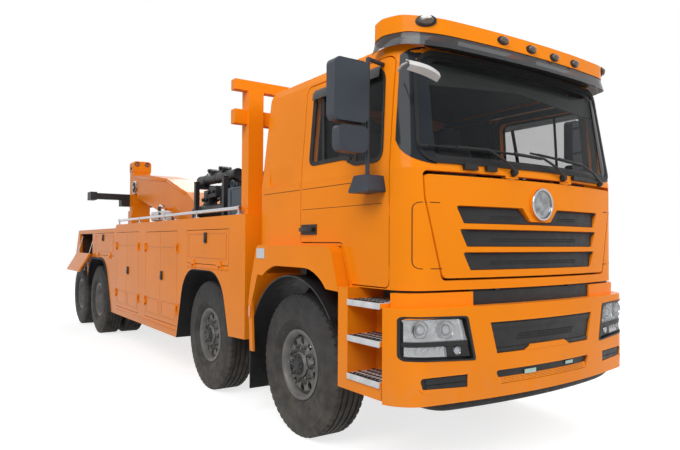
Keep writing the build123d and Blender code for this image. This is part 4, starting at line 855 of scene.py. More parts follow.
pale_lamps, dark_lamps, lamp_feet = Shape(), Shape(), Shape()
for y, z, radius, pale in VISOR_LAMPS:
    point, normal = from_front("sun_visor")((y, z))
    r = radius * 0.9
    foot = [(0, -0.004), (r * 1.2, -0.004), (r * 1.2, 0.005), (r, 0.009), (0, 0.009)]
    oval(lamp_feet, foot, point, normal, FOOT_WIDE)
    dome = [(0, 0.008), (r * 0.95, 0.008), (r * 0.92, 0.018), (r * 0.72, 0.027), (r * 0.40, 0.032), (0, 0.034)]
    oval(dark_lamps, dome, point, normal, DARK_WIDE)
    if pale:
        dome = [(0, 0.012), (r * 0.62, 0.012), (r * 0.60, 0.024), (r * 0.44, 0.031), (0, 0.036)]
        oval(pale_lamps, dome, point + UP * r * 0.42, normal, PALE_WIDE)
pale_lamps.done("visor_lamps_pale", "marker_lens", crease=SOFT_CREASE)
dark_lamps.done("visor_lamps_dark", "dark_lens", crease=SOFT_CREASE)
lamp_feet.done("visor_lamp_feet", "black_plastic")

# Headlamps, standing for their plain solids

LAMP_EDGE = ((-1.198, 1.066, 0.03), (-0.740, 1.056, 0.025), (-0.676, 0.773, 0.02), (-1.198, 0.798, 0.04))
LAMP_WINDOW = ((-1.170, 1.046), (-0.785, 1.034), (-0.742, 0.902), (-1.170, 0.910))
LAMP_ROW = ((-1.168, 0.878), (-0.900, 0.870), (-0.893, 0.808), (-1.168, 0.822))
LAMP_BAR = ((-1.180, 0.908), (-0.742, 0.899), (-0.735, 0.872), (-1.180, 0.880))
LAMP_BLOCK = ((-0.895, 0.878), (-0.735, 0.875), (-0.712, 0.800), (-0.888, 0.812))
BIG_LAMPS = ((-1.070, 0.980, 0.056), (-0.885, 0.972, 0.060))
LAMP_LIP = 0.003
LAMP_BOWL = ((0.86, -0.018), (0.55, -0.026), (0.3, -0.029), (0.3, -0.033), (1, -0.030))
LAMP_BULB = ((0, -0.030), (0.52, -0.028), (0.50, -0.020), (0.34, -0.013), (0, -0.010))
LAMP_COLLAR = ((0.62, -0.024), (0.56, -0.017), (0.52, -0.019), (0.54, -0.030))
lamp_face = from_front("headlamps")
lamp_black, lamp_silver, lamp_clear, lamp_bulbs = Shape(), Shape(), Shape(), Shape()


def sized(profile, radius):
    """Profile whose radii are given as parts of one radius."""
    return [(radius * part, along) for part, along in profile]


for side in WAYS:
    patches = (
        # shape, corners, columns, rows, lift, thickness
        (lamp_black, [(y, z) for y, z, r in LAMP_EDGE], 15, 9, -0.036, 0.006),
        (lamp_black, LAMP_BAR, 13, 3, -0.034, 0.034),
        (lamp_black, LAMP_BLOCK, 7, 4, -0.034, 0.028),
        (lamp_silver, LAMP_WINDOW, 15, 6, -0.030, 0.003),
        (lamp_silver, LAMP_ROW, 13, 4, -0.026, 0.003),
        (lamp_clear, LAMP_WINDOW, 15, 6, -0.005, 0.003),
        (lamp_clear, LAMP_ROW, 13, 4, -0.007, 0.003),
    )
    for shape, corners, across, down, lift, thick in patches:
        shape.sheet(quad(lamp_face, corners, across, down, -side), lift, thick)
    edge = rounded([(side * -y, z, r) for y, z, r in LAMP_EDGE], True, 0.05)
    inner = [p.lerp(Vector((side * 0.955, 0.915)), 0.07) for p in edge]
    lamp_black.sheet([[lamp_face(a), lamp_face(b)] for a, b in zip(edge, inner)], -0.036, 0.044, True)
    for y, z, radius in BIG_LAMPS:
        point, normal = lamp_face((side * -y, z))
        face = FORWARD.lerp(normal, 0.35).normalized()
        lip = [(radius, -0.009), (radius - LAMP_LIP, -0.008)]
        lamp_silver.lathe(lip + sized(LAMP_BOWL, radius), point, face, 48)
        lamp_bulbs.lathe(sized(LAMP_BULB, radius), point, face, 32)
        lamp_black.lathe(sized(LAMP_COLLAR, radius), point, face, 32)
    for y in spread(-1.140, -0.925, 6):
        stud = [(0, -0.024), (0.017, -0.023), (0.015, -0.016), (0.006, -0.014), (0, -0.014)]
        lamp_silver.lathe(stud, *lamp_face((side * -y, 0.853)), 4)
    small = lamp_face((side * 0.818, 0.842))
    ring = [(0.031, -0.006), (0.028, -0.001), (0.026, -0.003), (0.026, -0.010), (0.031, -0.010)]
    lamp_silver.lathe(ring, *small, 32)
    lamp_bulbs.lathe([(0, -0.012), (0.026, -0.010), (0.022, -0.003), (0, 0.001)], *small, 32)
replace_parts(lamp_black.done("headlamp_bezels", "black_plastic"), "headlamps")
lamp_silver.done("headlamp_reflectors", "lamp_chrome")
lamp_bulbs.done("headlamp_bulbs", "bulb_glass", crease=SOFT_CREASE)
lamp_clear.done("headlamp_covers", "lamp_glass")

# Bumper: vented grille plate, orange tab, perforated lower plate, fog blanks and lower lip; the vents and
# perforations are black marks of painted shade

PLATE_TOP, PLATE_LOW = 0.646, 0.604
PLATE_IN, PLATE_OUT = -0.006, 0.016
LIP_TOP = 0.545
SILL_Z = 1.165  # height at which the grille gives the sill its line
FOG_SURROUNDS = (
    ((0.738, 0.694), (0.625, 0.694), (0.618, 0.572), (0.738, 0.574)),
    ((1.092, 0.622), (0.738, 0.610), (0.738, 0.572), (1.062, 0.588)),
)
grille_face = from_front("bumper_grilles")


def across(half, z, count):
    """Surface points over the grille's width at one height."""
    return [grille_face((y, z)) for y in spread(-half, half, count)]


slits, folds = Shape(), Shape()
# Black slits: painted shade in the holes of the grille's perforated strip
for y in spread(-0.30, 0.30, 44):
    for drop in (-0.016, 0.0, 0.016):
        point = raised(grille_face, (y + drop * 0.8, 0.895 + drop), 0.0006)[0]
        slits.box(point, (0.002, 0.0065, 0.0105), turn=SLIT_TURN)
slits.done("grille_slit_shade", "rubber")
for bar in ((0.992, 0.960), (0.830, 0.808)):
    folds.sheet([across(0.494 + (z - 0.80) * 0.27, z, 23) for z in bar], -0.002, 0.010)
folds.done("grille_frame_bars", "black_plastic")
tab_rows = [across(half, z, 13) for z, half in ((0.834, 0.185), (0.828, 0.195), (0.800, 0.245))]
Shape().sheet(tab_rows, -0.004, 0.020).done("bumper_tab", "paint")
plate_rows = []
for z, rise in ((PLATE_TOP, PLATE_IN), (PLATE_LOW, PLATE_OUT)):
    plate_rows.append([(p + n * rise, n) for p, n in across(0.466 + (z - 0.60) * 0.45, z, 23)])
Shape().sheet(plate_rows, 0.0, 0.003).done("lower_perforated_plate", "paint")
holes, blanks, surrounds = Shape(), Shape(), Shape()
# Black discs: painted shade in the holes of the perforated lower plate
for z, shift in ((0.638, 0.0), (0.629, 0.006), (0.620, 0.0), (0.611, 0.006)):
    rise = PLATE_IN + (PLATE_OUT - PLATE_IN) * (PLATE_TOP - z) / (PLATE_TOP - PLATE_LOW) + 0.0032
    for y in spread(-0.452 + shift, 0.446 + shift, 76):
        holes.cap([(0.0036, 0.0), (0.0036, 0.0006)], *raised(grille_face, (y, z), rise), 6)
holes.done("lower_plate_hole_shade", "rubber")
for side in WAYS:
    for pair in ((0.682, 0.648), (0.642, 0.606)):
        blanks.sheet(grid(grille_face, spread(side * 0.66, side * 1.045, 11), pair), -0.002, 0.007)
    for corners in FOG_SURROUNDS:
        surrounds.sheet(quad(grille_face, corners, 9, 3, side), 0.001, 0.0105)
blanks.done("fog_blanks", "black_plastic")
surrounds.done("fog_surrounds", "paint")
lip_line = [from_front("bumper")((y, 0.56))[0] for y in spread(-1.10, 1.10, 45)]
lip_rows = []
for z, back in ((LIP_TOP, 0.060), (0.500, 0.064), (0.468, 0.075), (0.455, 0.095), (0.452, 0.120)):
    row = []
    for p in lip_line:
        rise = max(0.0, (abs(p.y) - 0.80) / 0.30) ** 2
        row.append((Vector((p.x - back, p.y, z + (LIP_TOP - z) * 0.9 * rise)), Vector((0.8, 0, -0.6))))
    lip_rows.append(row)
Shape().sheet(lip_rows, 0.0, 0.008).done("bumper_lip", "rubber", crease=SOFT_CREASE)
sill = Shape()
sill_rows = []
for z, push in ((1.236, -0.030), (1.205, -0.012), (1.198, -0.012)):
    lean = Vector((1, 0, 0.2)).normalized()
    sill_rows.append([(Vector((p.x + push, y, z)), lean)
                      for y, (p, n) in zip(spread(-0.66, 0.66, 23), across(0.66, SILL_Z, 23))])
sill.sheet(sill_rows, -0.012, 0.014)
for y in (-0.42, 0.36):
    sill.box(Vector((grille_face((y, SILL_Z))[0].x - 0.010, y, 1.212)), (0.030, 0.05, 0.022), 0.004)
for y in (-0.84, 0.84):
    sill.box(at(1.15, y, 1.156), (0.20, 0.44, 0.112), 0.004)
sill.done("bumper_sill", "black_plastic")
hook_covers = Shape()
for y0, y1, z0, z1 in ((-0.232, -0.122, 0.640, 0.668), (0.216, 0.306, 0.655, 0.676)):
    hook_covers.sheet(grid(grille_face, spread(y0, y1, 5), (z1, z0)), 0.004, 0.006)
hook_covers.done("pale_hook_covers", "pale_green")

# Doors: window seals, dividers, inner trim, rain shields, handles and inner cards

WINDOW = ((0.150, 2.108, 0.06), (0.152, 2.676, 0.07), (1.010, 2.664, 0.09), (1.040, 2.050, 0.08),
          (0.720, 2.050, 0.06), (0.640, 2.108, 0.06))
SHIELD_TOP = 2.690
for word, side in SIDES:
    body = "cab_door_" + word
    out = LEFT * side
    skin = from_side(side, "door_glass_" + word, body)
    inside = from_inside(side, body)
    path = rounded(WINDOW, True, 0.08)
    rim, frame_trim, shield, handle, card = (Shape() for _ in range(5))
    ribbon(rim, path, -0.020, 0.010, skin, -0.003, 0.010)
    divider = [(0.330 - 0.068 * t, 2.112 + 0.50 * t) for t in spread(0, 1, 6)]
    rim.sheet([[skin((x + d, z)) for d in (-0.017, 0.017)] for x, z in divider], 0.0, 0.008)
    rim.sheet(grid(skin, (0.723, 0.747), spread(2.064, 2.655, 6)), 0.0, 0.006)
    rim.done("window_seal_" + word, "rubber", body)
    ribbon(frame_trim, path, 0.001, 0.056, inside, 0.001, 0.007)
    for x0, x1, z0, z1 in ((0.036, 0.100, 1.60, 2.70), (1.060, 1.084, 2.04, 2.68)):
        frame_trim.sheet(grid(inside, (x0, x1), spread(z0, z1, 6)), 0.001, 0.006)
    frame_trim.done("door_frame_trim_" + word, "trim_grey", body, "black_plastic")
    rows = []
    for x in spread(0.150, 0.98, 14):
        point = skin((x, SHIELD_TOP))[0]
        rows.append([(Vector((point.x, point.y + side * push, z)), out)
                     for z, push in ((SHIELD_TOP, 0.004), (2.660, 0.022), (2.610, 0.030))])
    shield.sheet(rows, 0.0, 0.004).done("rain_shield_" + word, "smoked", body, crease=SOFT_CREASE)
    point, normal = skin((0.150, 1.612))
    handle.sheet(grid(skin, spread(0.050, 0.268, 7), spread(1.572, 1.650, 4)), 0.0, 0.007)
    handle.box(point + normal * 0.026, (0.190, 0.020, 0.034), 0.009)
    for x in (-0.075, 0.078):
        handle.box(point + Vector((x, side * 0.014, 0)), (0.030, 0.028, 0.028), 0.005)
    lock = skin((0.240, 1.600))[0] + normal * 0.006
    handle.lathe([(0, 0), (0.012, 0), (0.012, 0.004), (0, 0.005)], lock, normal, 20)
    handle.done("door_handle_" + word, "black_plastic", body)
    card.sheet(grid(inside, spread(0.09, 1.03, 12), spread(1.585, 2.030, 8)), 0.001, 0.010)
    card.box(raised(inside, (0.45, 1.86), 0.035)[0], (0.50, 0.060, 0.070), 0.018)
    card.box(raised(inside, (0.80, 1.90), 0.022)[0], (0.12, 0.030, 0.030), 0.008)
    card.done("door_card_" + word, "trim_grey", body)

# Inside of the cab, standing for its plain solids

FASCIA = ((0.760, 1.277), (1.213, 1.277), (1.213, 1.870), (1.160, 1.900), (1.060, 1.928), (1.000, 1.910),
          (0.940, 1.835), (0.955, 1.700), (0.980, 1.560), (1.078, 1.400))
HOOD = ((0.900, 1.870), (1.060, 1.900), (1.060, 1.960), (0.990, 1.985), (0.890, 1.950))
DRIVER_Y = 0.520


def loop_ring(radius, thick, count):
    """Profile of a round bar bent into a ring."""
    return [(radius + thick * c, thick * s) for c, s in turns(count)]


dash = Shape()
dash.prism([at(x, 0, z) for x, z in FASCIA], LEFT * -0.858, LEFT * 0.858, 0.012)
dash.prism([at(x, 0, z) for x, z in HOOD], LEFT * 0.30, LEFT * 0.76, 0.012)
for y in (-0.62, -0.30, 0.02):
    dash.box(at(0.955, y, 1.78), (0.020, 0.20, 0.075), 0.008, Matrix.Rotation(-0.2, 3, "Y"))
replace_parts(dash.done("dash", "black_plastic"), "cab_interior")
steer = Shape()
hub = at(0.790, DRIVER_Y, 1.915)
tilt = Vector((-0.70, 0, 0.714)).normalized()
down = tilt.cross(LEFT).normalized()
steer.lathe(loop_ring(0.225, 0.016, 12), hub, tilt, 56)
steer.lathe([(0, -0.020), (0.062, -0.020), (0.070, 0.0), (0.052, 0.018), (0, 0.024)], hub, tilt, 32)
for way in (LEFT, -LEFT, down if down.z < 0 else -down):
    steer.rod(hub + way * 0.05, hub + way * 0.222, 0.013, 10)
steer.rod(hub - tilt * 0.01, at(1.010, DRIVER_Y, 1.690), 0.032, 20)
steer.done("steering_wheel", "black_plastic", crease=45.0)
stands, lining = Shape(), Shape()
recline = Matrix.Rotation(math.radians(-11), 3, "Y")
for word, side in SIDES:
    y = side * DRIVER_Y
    stands.box(at(0.31, y, 1.635), (0.40, 0.38, 0.17), 0.02)
    cushion("seat_base_" + word, at(0.31, y, 1.795), (0.52, 0.52, 0.19), channels=3)
    cushion("seat_back_" + word, at(0.045, y, 2.145), (0.17, 0.49, 0.60), recline)
    cushion("seat_head_" + word, at(-0.028, y, 2.505), (0.12, 0.25, 0.19), recline)
    for shift in (-0.06, 0.06):
        stands.rod(at(-0.005, y + shift, 2.38), at(-0.018, y + shift, 2.46), 0.007, 8)
stands.box(at(-0.395, 0, 1.64), (0.42, 2.02, 0.17), 0.01)
stands.done("seat_stands", "black_plastic")
cushion("bunk_mattress", at(-0.395, 0, 1.790), (0.42, 2.02, 0.125))


def shell_up(way, z):
    """Finds the cab shell over or under a (y, x) spot."""
    return lambda spot: nearest_hit(["cab_shell"], at(spot[1], spot[0], z), UP * way)


def shell_back(spot):
    """The cab shell's rear wall at a (y, z) spot."""
    return nearest_hit(["cab_shell"], at(-0.2, *spot), -FORWARD)


lining.sheet(grid(shell_up(1, 2.30), spread(-0.97, 0.97, 15), spread(-0.50, 1.06, 13)), 0.002, 0.012)
lining.sheet(grid(shell_back, spread(-1.00, 1.00, 13), spread(1.58, 2.70, 9)), 0.002, 0.012)
WALLS = (
    # columns along x, rows along z, lift, thickness
    (spread(-0.58, 0.026, 7), spread(1.58, 2.735, 9), 0.002, 0.012),
    (spread(-0.56, 1.10, 9), spread(2.7405, 2.798, 6), 0.001, 0.008),
    (spread(1.126, 1.195, 4), spread(2.05, 2.70, 9), 0.001, 0.006),
)
for side in WAYS:
    for columns, rows, lift, thick in WALLS:
        lining.sheet(grid(from_inside(side, "cab_shell"), columns, rows), lift, thick)
lining.sheet(grid(shell_up(-1, 1.75), spread(-1.04, 1.04, 9), spread(-0.60, 0.55, 9)), 0.001, 0.006)
lining.done("cab_lining", "trim_grey", crease=SOFT_CREASE)

# Mirrors: glass behind the heads, and the small mirror looking down the cab's front

for word, side in SIDES:
    glass = Shape()
    for z0, z1, y0, y1 in ((2.290, 2.622, 1.315, 1.515), (2.100, 2.215, 1.310, 1.480)):
        rows = grid(lambda spot: probe("mirror_" + word, at(0.5, side * spot[0], spot[1]), FORWARD),
                    spread(y0, y1, 5), spread(z1, z0, 5))
        if all(hit for row in rows for hit in row):
            glass.sheet(rows, 0.001, 0.003)
    if len(glass.bm.verts):
        glass.done("mirror_glass_" + word, "mirror_silver", "cab_door_" + word)
front_mirror = Shape()
front_mirror.tube([at(1.205, -1.150, 2.590), at(1.300, -1.200, 2.592), at(1.372, -1.215, 2.590)], 0.007)
rows = []
for t in spread(0, 1, 9):
    lean = 0.030 * math.sin(math.pi * t)
    section = ((0.000, 0.0), (-0.012, 0.030 + lean), (-0.040, 0.040 + lean), (-0.062, 0.012 + lean * 0.5))
    rows.append([(at(1.372 + push, -1.235 + 0.245 * t, 2.600 + drop - 0.035 * t), Vector((0.8, 0, 0.6)))
                 for drop, push in section])
front_mirror.sheet(rows, 0.0, 0.006)
front_mirror.done("front_view_mirror", "pale_plastic", crease=60.0)

# Cab steps: bright treads with raised grip rings, black discs in the rings that are painted shade in their holes, and
# toothed edges

STEP_TOPS = (0.650, 0.900, 1.135)
GRIP_RING = ((0.0145, 0.0), (0.0135, 0.0035), (0.0105, 0.0045), (0.0085, 0.0015), (0.0085, 0.0))
GRIP_STAGGER = 0.012
treads, grips = Shape(), Shape()
for side in WAYS:
    for top in STEP_TOPS:
        treads.box(at(0.985, side * 1.122, top + 0.002), (0.330, 0.258, 0.006), 0.0015)
        treads.box(at(0.985, side * 1.2535, top - 0.015), (0.345, 0.006, 0.040), 0.002)
        for row, y in enumerate((1.045, 1.105, 1.165, 1.218)):
            for x in spread(0.845, 1.125, 8):
                spot = at(x + (GRIP_STAGGER if row % 2 else -GRIP_STAGGER), side * y, top + 0.0048)
                grips.lathe(GRIP_RING, spot, UP, 14)
                # black disc in the ring: painted shade in the tread's hole
                grips.cap([(0.0085, 0.0), (0.0085, 0.0008)], spot, UP, 14)
        for x in spread(0.830, 1.140, 22):
            grips.box(at(x, side * 1.243, top + 0.0062), (0.008, 0.018, 0.0035))
treads.done("step_treads", "tread_alloy")
grips.done("step_grips", "rubber")

# Fender strips: grey reflectors and side markers

reflectors, markers = Shape(), Shape()
for side in WAYS:
    skin = from_side(side, "front_fenders")
    reflectors.sheet(grid(skin, spread(-0.530, -0.390, 4), (1.462, 1.378)), 0.0, 0.006)
    markers.sheet(grid(skin, (-0.668, -0.630), (0.96, 0.87)), 0.0, 0.012)
reflectors.done("fender_reflectors", "reflector")
markers.done("side_markers", "amber")

# Locker doors: inner liners, pressed lines in darkened orange that is painted shade, and latches; stays of the open
# door; linings in near-black orange that is painted shade inside the lockers

LEAVES = (
    # tag, front x, rear x, low z, high z, latch x, latch z
    ("a", -1.118, -2.206, 1.291, 1.634, -1.680, 1.556),
    ("b_front", -2.522, -3.108, 0.566, 1.634, -3.050, 1.110),
    ("b_rear", -3.114, -3.700, 0.566, 1.634, None, None),
    ("c_front", -4.024, -4.581, 0.566, 1.644, -4.524, 1.112),
    ("c_rear", -4.587, -5.144, 0.566, 1.644, None, None),
    ("d", -5.316, -6.554, 1.296, 1.644, -6.000, 1.574),
    ("e", -6.766, -7.804, 1.296, 1.644, -7.285, 1.574),
)
TALL_LEAF = 0.6
LINE_Y, LINE_DEEP, LINE_WIDE = BODY_HALF + 0.0006, 0.0024, 0.0045
OPEN_LEAF = "e_right"  # stands open at rest; its liner would meet the stays
HINGE_Y, HINGE_Z = 1.257, 1.293
OPEN_TURN = math.radians(150.0)
STAY_ALONG, STAY_OFF = 0.29, 0.05  # where a stay meets the open door, from its hinge
hinge = Matrix.Translation((0, -HINGE_Y, HINGE_Z))
open_place = hinge @ Matrix.Rotation(OPEN_TURN, 4, "X") @ hinge.inverted()
LOCKERS = (
    # front x, rear x, low z, high z
    (-1.112, -2.212, 1.285, 1.640), (-2.516, -3.706, 0.560, 1.640), (-4.018, -5.150, 0.560, 1.650),
    (-5.310, -6.560, 1.290, 1.650), (-6.760, -7.810, 1.290, 1.650),
)


def leaf_pieces(leaf, front, rear, low, high, latch_x, latch_z, side):
    """Liner, pressed lines in darkened orange (painted shade) and latch of one locker door."""
    body = "locker_door_" + leaf
    mid_x, mid_z = (front + rear) / 2, (low + high) / 2
    wide, tall = front - rear, high - low
    out = LEFT * side
    liner, lines, latch = Shape(), Shape(), Shape()
    liner.box(at(mid_x, side * (BODY_HALF - 0.0315), mid_z), (wide - 0.05, 0.006, tall - 0.05), 0.002)
    x0, x1 = rear + 0.055, front - 0.055
    z0, z1 = low + 0.060, high - 0.040
    if tall > TALL_LEAF:
        z1 = low + 0.240
        lines.box(at(mid_x, side * LINE_Y, high - 0.185), (wide - 0.03, LINE_DEEP, LINE_WIDE))
    for z in (z0, z1):
        lines.box(at((x0 + x1) / 2, side * LINE_Y, z), (x1 - x0, LINE_DEEP, LINE_WIDE))
    for x in (x0, x1):
        lines.box(at(x, side * LINE_Y, (z0 + z1) / 2), (LINE_WIDE, LINE_DEEP, z1 - z0))
    if latch_x is not None:
        spot = at(latch_x, side * (BODY_HALF + 0.0035), latch_z)
        lean = Matrix.Rotation(side * 0.10, 3, "X")
        latch.box(spot + out * 0.004, (0.068, 0.012, 0.108), 0.0055)
        latch.box(spot + out * 0.011 - UP * 0.008, (0.044, 0.010, 0.066), 0.004, lean)
        latch.cap([(0.011, 0), (0.011, 0.003), (0.0085, 0.005)], spot + out * 0.010 + UP * 0.037, out, 20)
    if leaf == OPEN_LEAF:
        lines.move(open_place)
        latch.move(open_place)
    else:
        liner.done("leaf_liner_" + leaf, "paint", body)
    # darkened orange lines: painted shade in the door's pressings
    lines.done("leaf_line_shade_" + leaf, "press_line_shade", body)
    if latch_x is not None:
        latch.done("leaf_latch_" + leaf, "black_plastic", body)


for word, side in SIDES:
    for tag, *sizes in LEAVES:
        leaf_pieces(f"{tag}_{word}", *sizes, side)
    bead = Shape()
    for front, rear, z in ((-1.13, -2.19, 1.255), (-2.56, -5.10, 0.520)):
        bead.box(at((front + rear) / 2, side * (BODY_HALF + 0.003), z), (front - rear, 0.008, 0.014), 0.003)
    bead.done("body_beads_" + word, "paint")
for n, x in enumerate((-6.830, -7.745)):
    stay = Shape()
    sine, cosine = math.sin(OPEN_TURN), math.cos(OPEN_TURN)
    tip = at(x, -HINGE_Y, HINGE_Z) + Vector((0, -sine * STAY_ALONG - cosine * STAY_OFF, cosine * STAY_ALONG - 0.01))
    top = at(x, -1.205, 1.600)
    stay.rod(top, tip, 0.0065, 12)
    stay.cap([(0.014, -0.012), (0.014, 0.012)], top, FORWARD, 20)
    stay.cap([(0.012, -0.010), (0.012, 0.010)], tip, FORWARD, 20)
    piece = stay.done(f"locker_stay_{n + 1}", "alloy")
    way = (tip - top).normalized()
    tuple(way)
    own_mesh(piece)
# Near-black sheets on the lockers' inner walls: painted shade inside the compartments
locker_shade_lining = Shape()
for side in WAYS:
    for front, rear, low, high in LOCKERS:
        mid_x, mid_z, long = (front + rear) / 2, (low + high) / 2, front - rear - 0.004
        locker_shade_lining.box(at(mid_x, side * 0.679, mid_z), (long, 0.006, high - low - 0.004))
        for z in (low + 0.003, high - 0.003):
            locker_shade_lining.box(at(mid_x, side * 0.940, z), (long, 0.516, 0.006))
        for x in (front - 0.003, rear + 0.003):
            locker_shade_lining.box(at(x, side * 0.940, mid_z), (0.006, 0.516, high - low - 0.012))
locker_shade_lining.done("locker_painted_shade_lining", "locker_painted_shade")

# Wheel arches: black liners and rubber edging

ARCHES = (
    # corners (x, z, radius), radius of the edging
    ([(-2.518, 0.445, 0), (-2.290, 1.228, 0.30), (-1.300, 1.228, 0.30), (-1.112, 0.645, 0)], 0.006),
    ([(-5.440, 0.445, 0), (-5.830, 1.241, 0.34), (-6.880, 1.241, 0.27), (-7.060, 0.838, 0)], 0.020),
    ([(-7.085, 0.838, 0), (-7.380, 1.241, 0.30), (-8.140, 1.2615, 0)], 0.020),
)
HUB_Z = 0.555
ARCH_ROWS = (1.238, 0.95, 0.66)  # from the edge to the inner wall
liners, edging = Shape(), Shape()
for side in WAYS:
    for corners, edge_r in ARCHES:
        path = rounded(corners, False, 0.06)
        centre_x = (corners[0][0] + corners[-1][0]) / 2
        rows = []
        for i, spot in enumerate(path):
            along = (path[min(i + 1, len(path) - 1)] - path[max(i - 1, 0)]).normalized()
            inward = Vector((along.y, 0, -along.x))
            if inward.x * (centre_x - spot.x) + inward.z * (HUB_Z - spot.y) < 0:
                inward = -inward
            places = [at(spot.x, side * y, spot.y) for y in ARCH_ROWS]
            rows.append([probe("cabinets", place + inward * 0.15, -inward) or (place, inward) for place in places])
        liners.sheet(rows, 0.001, 0.004)
        edging.tube([row[0][0] + row[0][1] * 0.004 + LEFT * side * 0.004 for row in rows], edge_r)
liners.done("arch_liners", "rubber", crease=SOFT_CREASE)
edging.done("arch_edging", "rubber", crease=SOFT_CREASE)

# Rear: lamp clusters under the locker tails and a bare plate

REAR_LENS = ((0, 0), (0.042, 0), (0.042, 0.008), (0.036, 0.013), (0.020, 0.016), (0, 0.017))
REAR_START = -9.5  # rays to the tails start behind the truck
clusters, red, amber_rear, clear_rear = (Shape() for _ in range(4))
for side in WAYS:
    clusters.box(at(-8.075, side * 0.975, 1.190), (0.080, 0.440, 0.142), 0.012)
    for y, shape in ((0.835, clear_rear), (0.945, red), (1.055, red), (1.145, amber_rear)):
        shape.lathe(REAR_LENS, at(-8.115, side * y, 1.190), -FORWARD, 32)
clusters.done("rear_lamp_boxes", "black_plastic")
red.done("rear_red_lenses", "red_lens", crease=SOFT_CREASE)
amber_rear.done("rear_amber_lenses", "amber", crease=SOFT_CREASE)
clear_rear.done("rear_clear_lenses", "marker_lens", crease=SOFT_CREASE)
plate, tails = Shape(), Shape()
point, normal = nearest_hit(["cabinets"], at(REAR_START, 0.95, 1.50), FORWARD)
turn = Matrix((normal.cross(LEFT), LEFT, normal)).transposed()
plate.box(point + normal * 0.004, (0.14, 0.44, 0.008), 0.003, turn)
for y in (-0.17, 0.17):
    plate.lathe([(0, 0), (0.008, 0), (0.008, 0.004), (0, 0.005)], point + normal * 0.008 + LEFT * y, normal, 12)
plate.done("blank_plate", "reflector")
for y in (-0.95, 1.19):
    for along in (-0.13, 0.13):
        point, normal = nearest_hit(["cabinets"], at(REAR_START, y, 1.50 + along * 0.7), FORWARD)
        tails.box(point + normal * 0.004, (0.008, 0.05, 0.10), 0.003)
tails.done("tail_reflectors", "red_lens")

# Hand rails: foot flanges; locker tops: tread strips and a work lamp box

RAIL_Y = 1.218
RAIL_FOOT = ((0.032, 0), (0.032, 0.004), (0.018, 0.008), (0.0145, 0.014))
RAIL_JOINT = ((0.0205, -0.020), (0.0215, 0.0), (0.0205, 0.020))
flanges, mats, work_lamp, lens = (Shape() for _ in range(4))
for side in WAYS:
    for x in (-0.960, -2.000, -3.050, -4.080, -5.120):
        flanges.cap(RAIL_FOOT, at(x, side * RAIL_Y, LOCKER_TOP), UP, 24)
        flanges.cap(RAIL_JOINT, at(x, side * RAIL_Y, 1.826), FORWARD, 24)
    for x0, x1, z in ((-5.15, -1.10, LOCKER_TOP), (-7.88, -5.30, 1.716)):
        for x in spread(x0, x1, int((x1 - x0) / 0.075)):
            mats.box(at(x, side * 0.93, z + 0.002), (0.034, 0.44, 0.006), 0.002)
flanges.done("rail_fittings", "chrome")
mats.done("locker_top_grips", "alloy")
work_lamp.box(at(-3.60, -1.085, 1.845), (0.46, 0.13, 0.125), 0.022)
for x in (-3.46, -3.74):
    work_lamp.box(at(x, -1.085, 1.772), (0.05, 0.06, 0.040), 0.006)
work_lamp.done("work_lamp_box", "pale_plastic")
lens.lathe([(0, 0), (0.045, 0), (0.045, 0.006), (0.034, 0.011), (0, 0.013)], at(-3.45, -1.150, 1.845), -LEFT, 32)
lens.done("work_lamp_lens", "black_plastic")

# Oil tank: filler, breather, straps and lifting eyes; valve bank with levers

FILLER = ((0, 0), (0.075, 0), (0.075, 0.020), (0.062, 0.024), (0.062, 0.052), (0.055, 0.060), (0, 0.062))
BREATHER = ((0.040, 0), (0.040, 0.050), (0.050, 0.052), (0.050, 0.090), (0.036, 0.100))
TANK_TOP = 2.150
tank, bank = Shape(), Shape()
tank.lathe(FILLER, at(-1.55, 0.25, TANK_TOP), UP, 32)
tank.cap(BREATHER, at(-2.10, -0.30, TANK_TOP), UP, 28)
for y in (-0.60, 0.60):
    tank.box(at(-1.87, y * 1.02, 2.145), (1.30, 0.030, 0.018), 0.004)
for x in (-1.25, -1.87, -2.49):
    for y in (-0.6225, 0.6225):
        tank.box(at(x, y, 1.70), (0.050, 0.008, 0.84), 0.003)
for x in (-2.500, -1.240):
    for y in (-0.585, 0.585):
        tank.lathe(loop_ring(0.042, 0.011, 10), at(x, y, 2.200), LEFT, 28)
        tank.box(at(x, y, 2.155), (0.06, 0.03, 0.012), 0.003)
tank.done("tank_fittings", "slate_paint")
bank.box(at(-2.640, 0.0, 1.52), (0.130, 0.62, 0.16), 0.012)
for y in spread(-0.26, 0.26, 7):
    bank.rod(at(-2.640, y, 1.59), at(-2.655, y, 1.75), 0.008, 10)
    bank.lathe([(0, -0.02), (0.014, -0.016), (0.019, 0.0), (0.014, 0.016), (0, 0.02)], at(-2.656, y, 1.765), UP, 18)
    bank.cap([(0.022, 0), (0.022, 0.014), (0.016, 0.018)], at(-2.705, y, 1.50), -FORWARD, 6)
bank.box(at(-2.60, 0.0, 1.325), (0.06, 0.40, 0.25), 0.01)
bank.done("valve_bank", "rack_paint")

# Forks and tow tubes: open tube ends with black discs in their mouths that are painted shade, collars, pins and fork
# heads

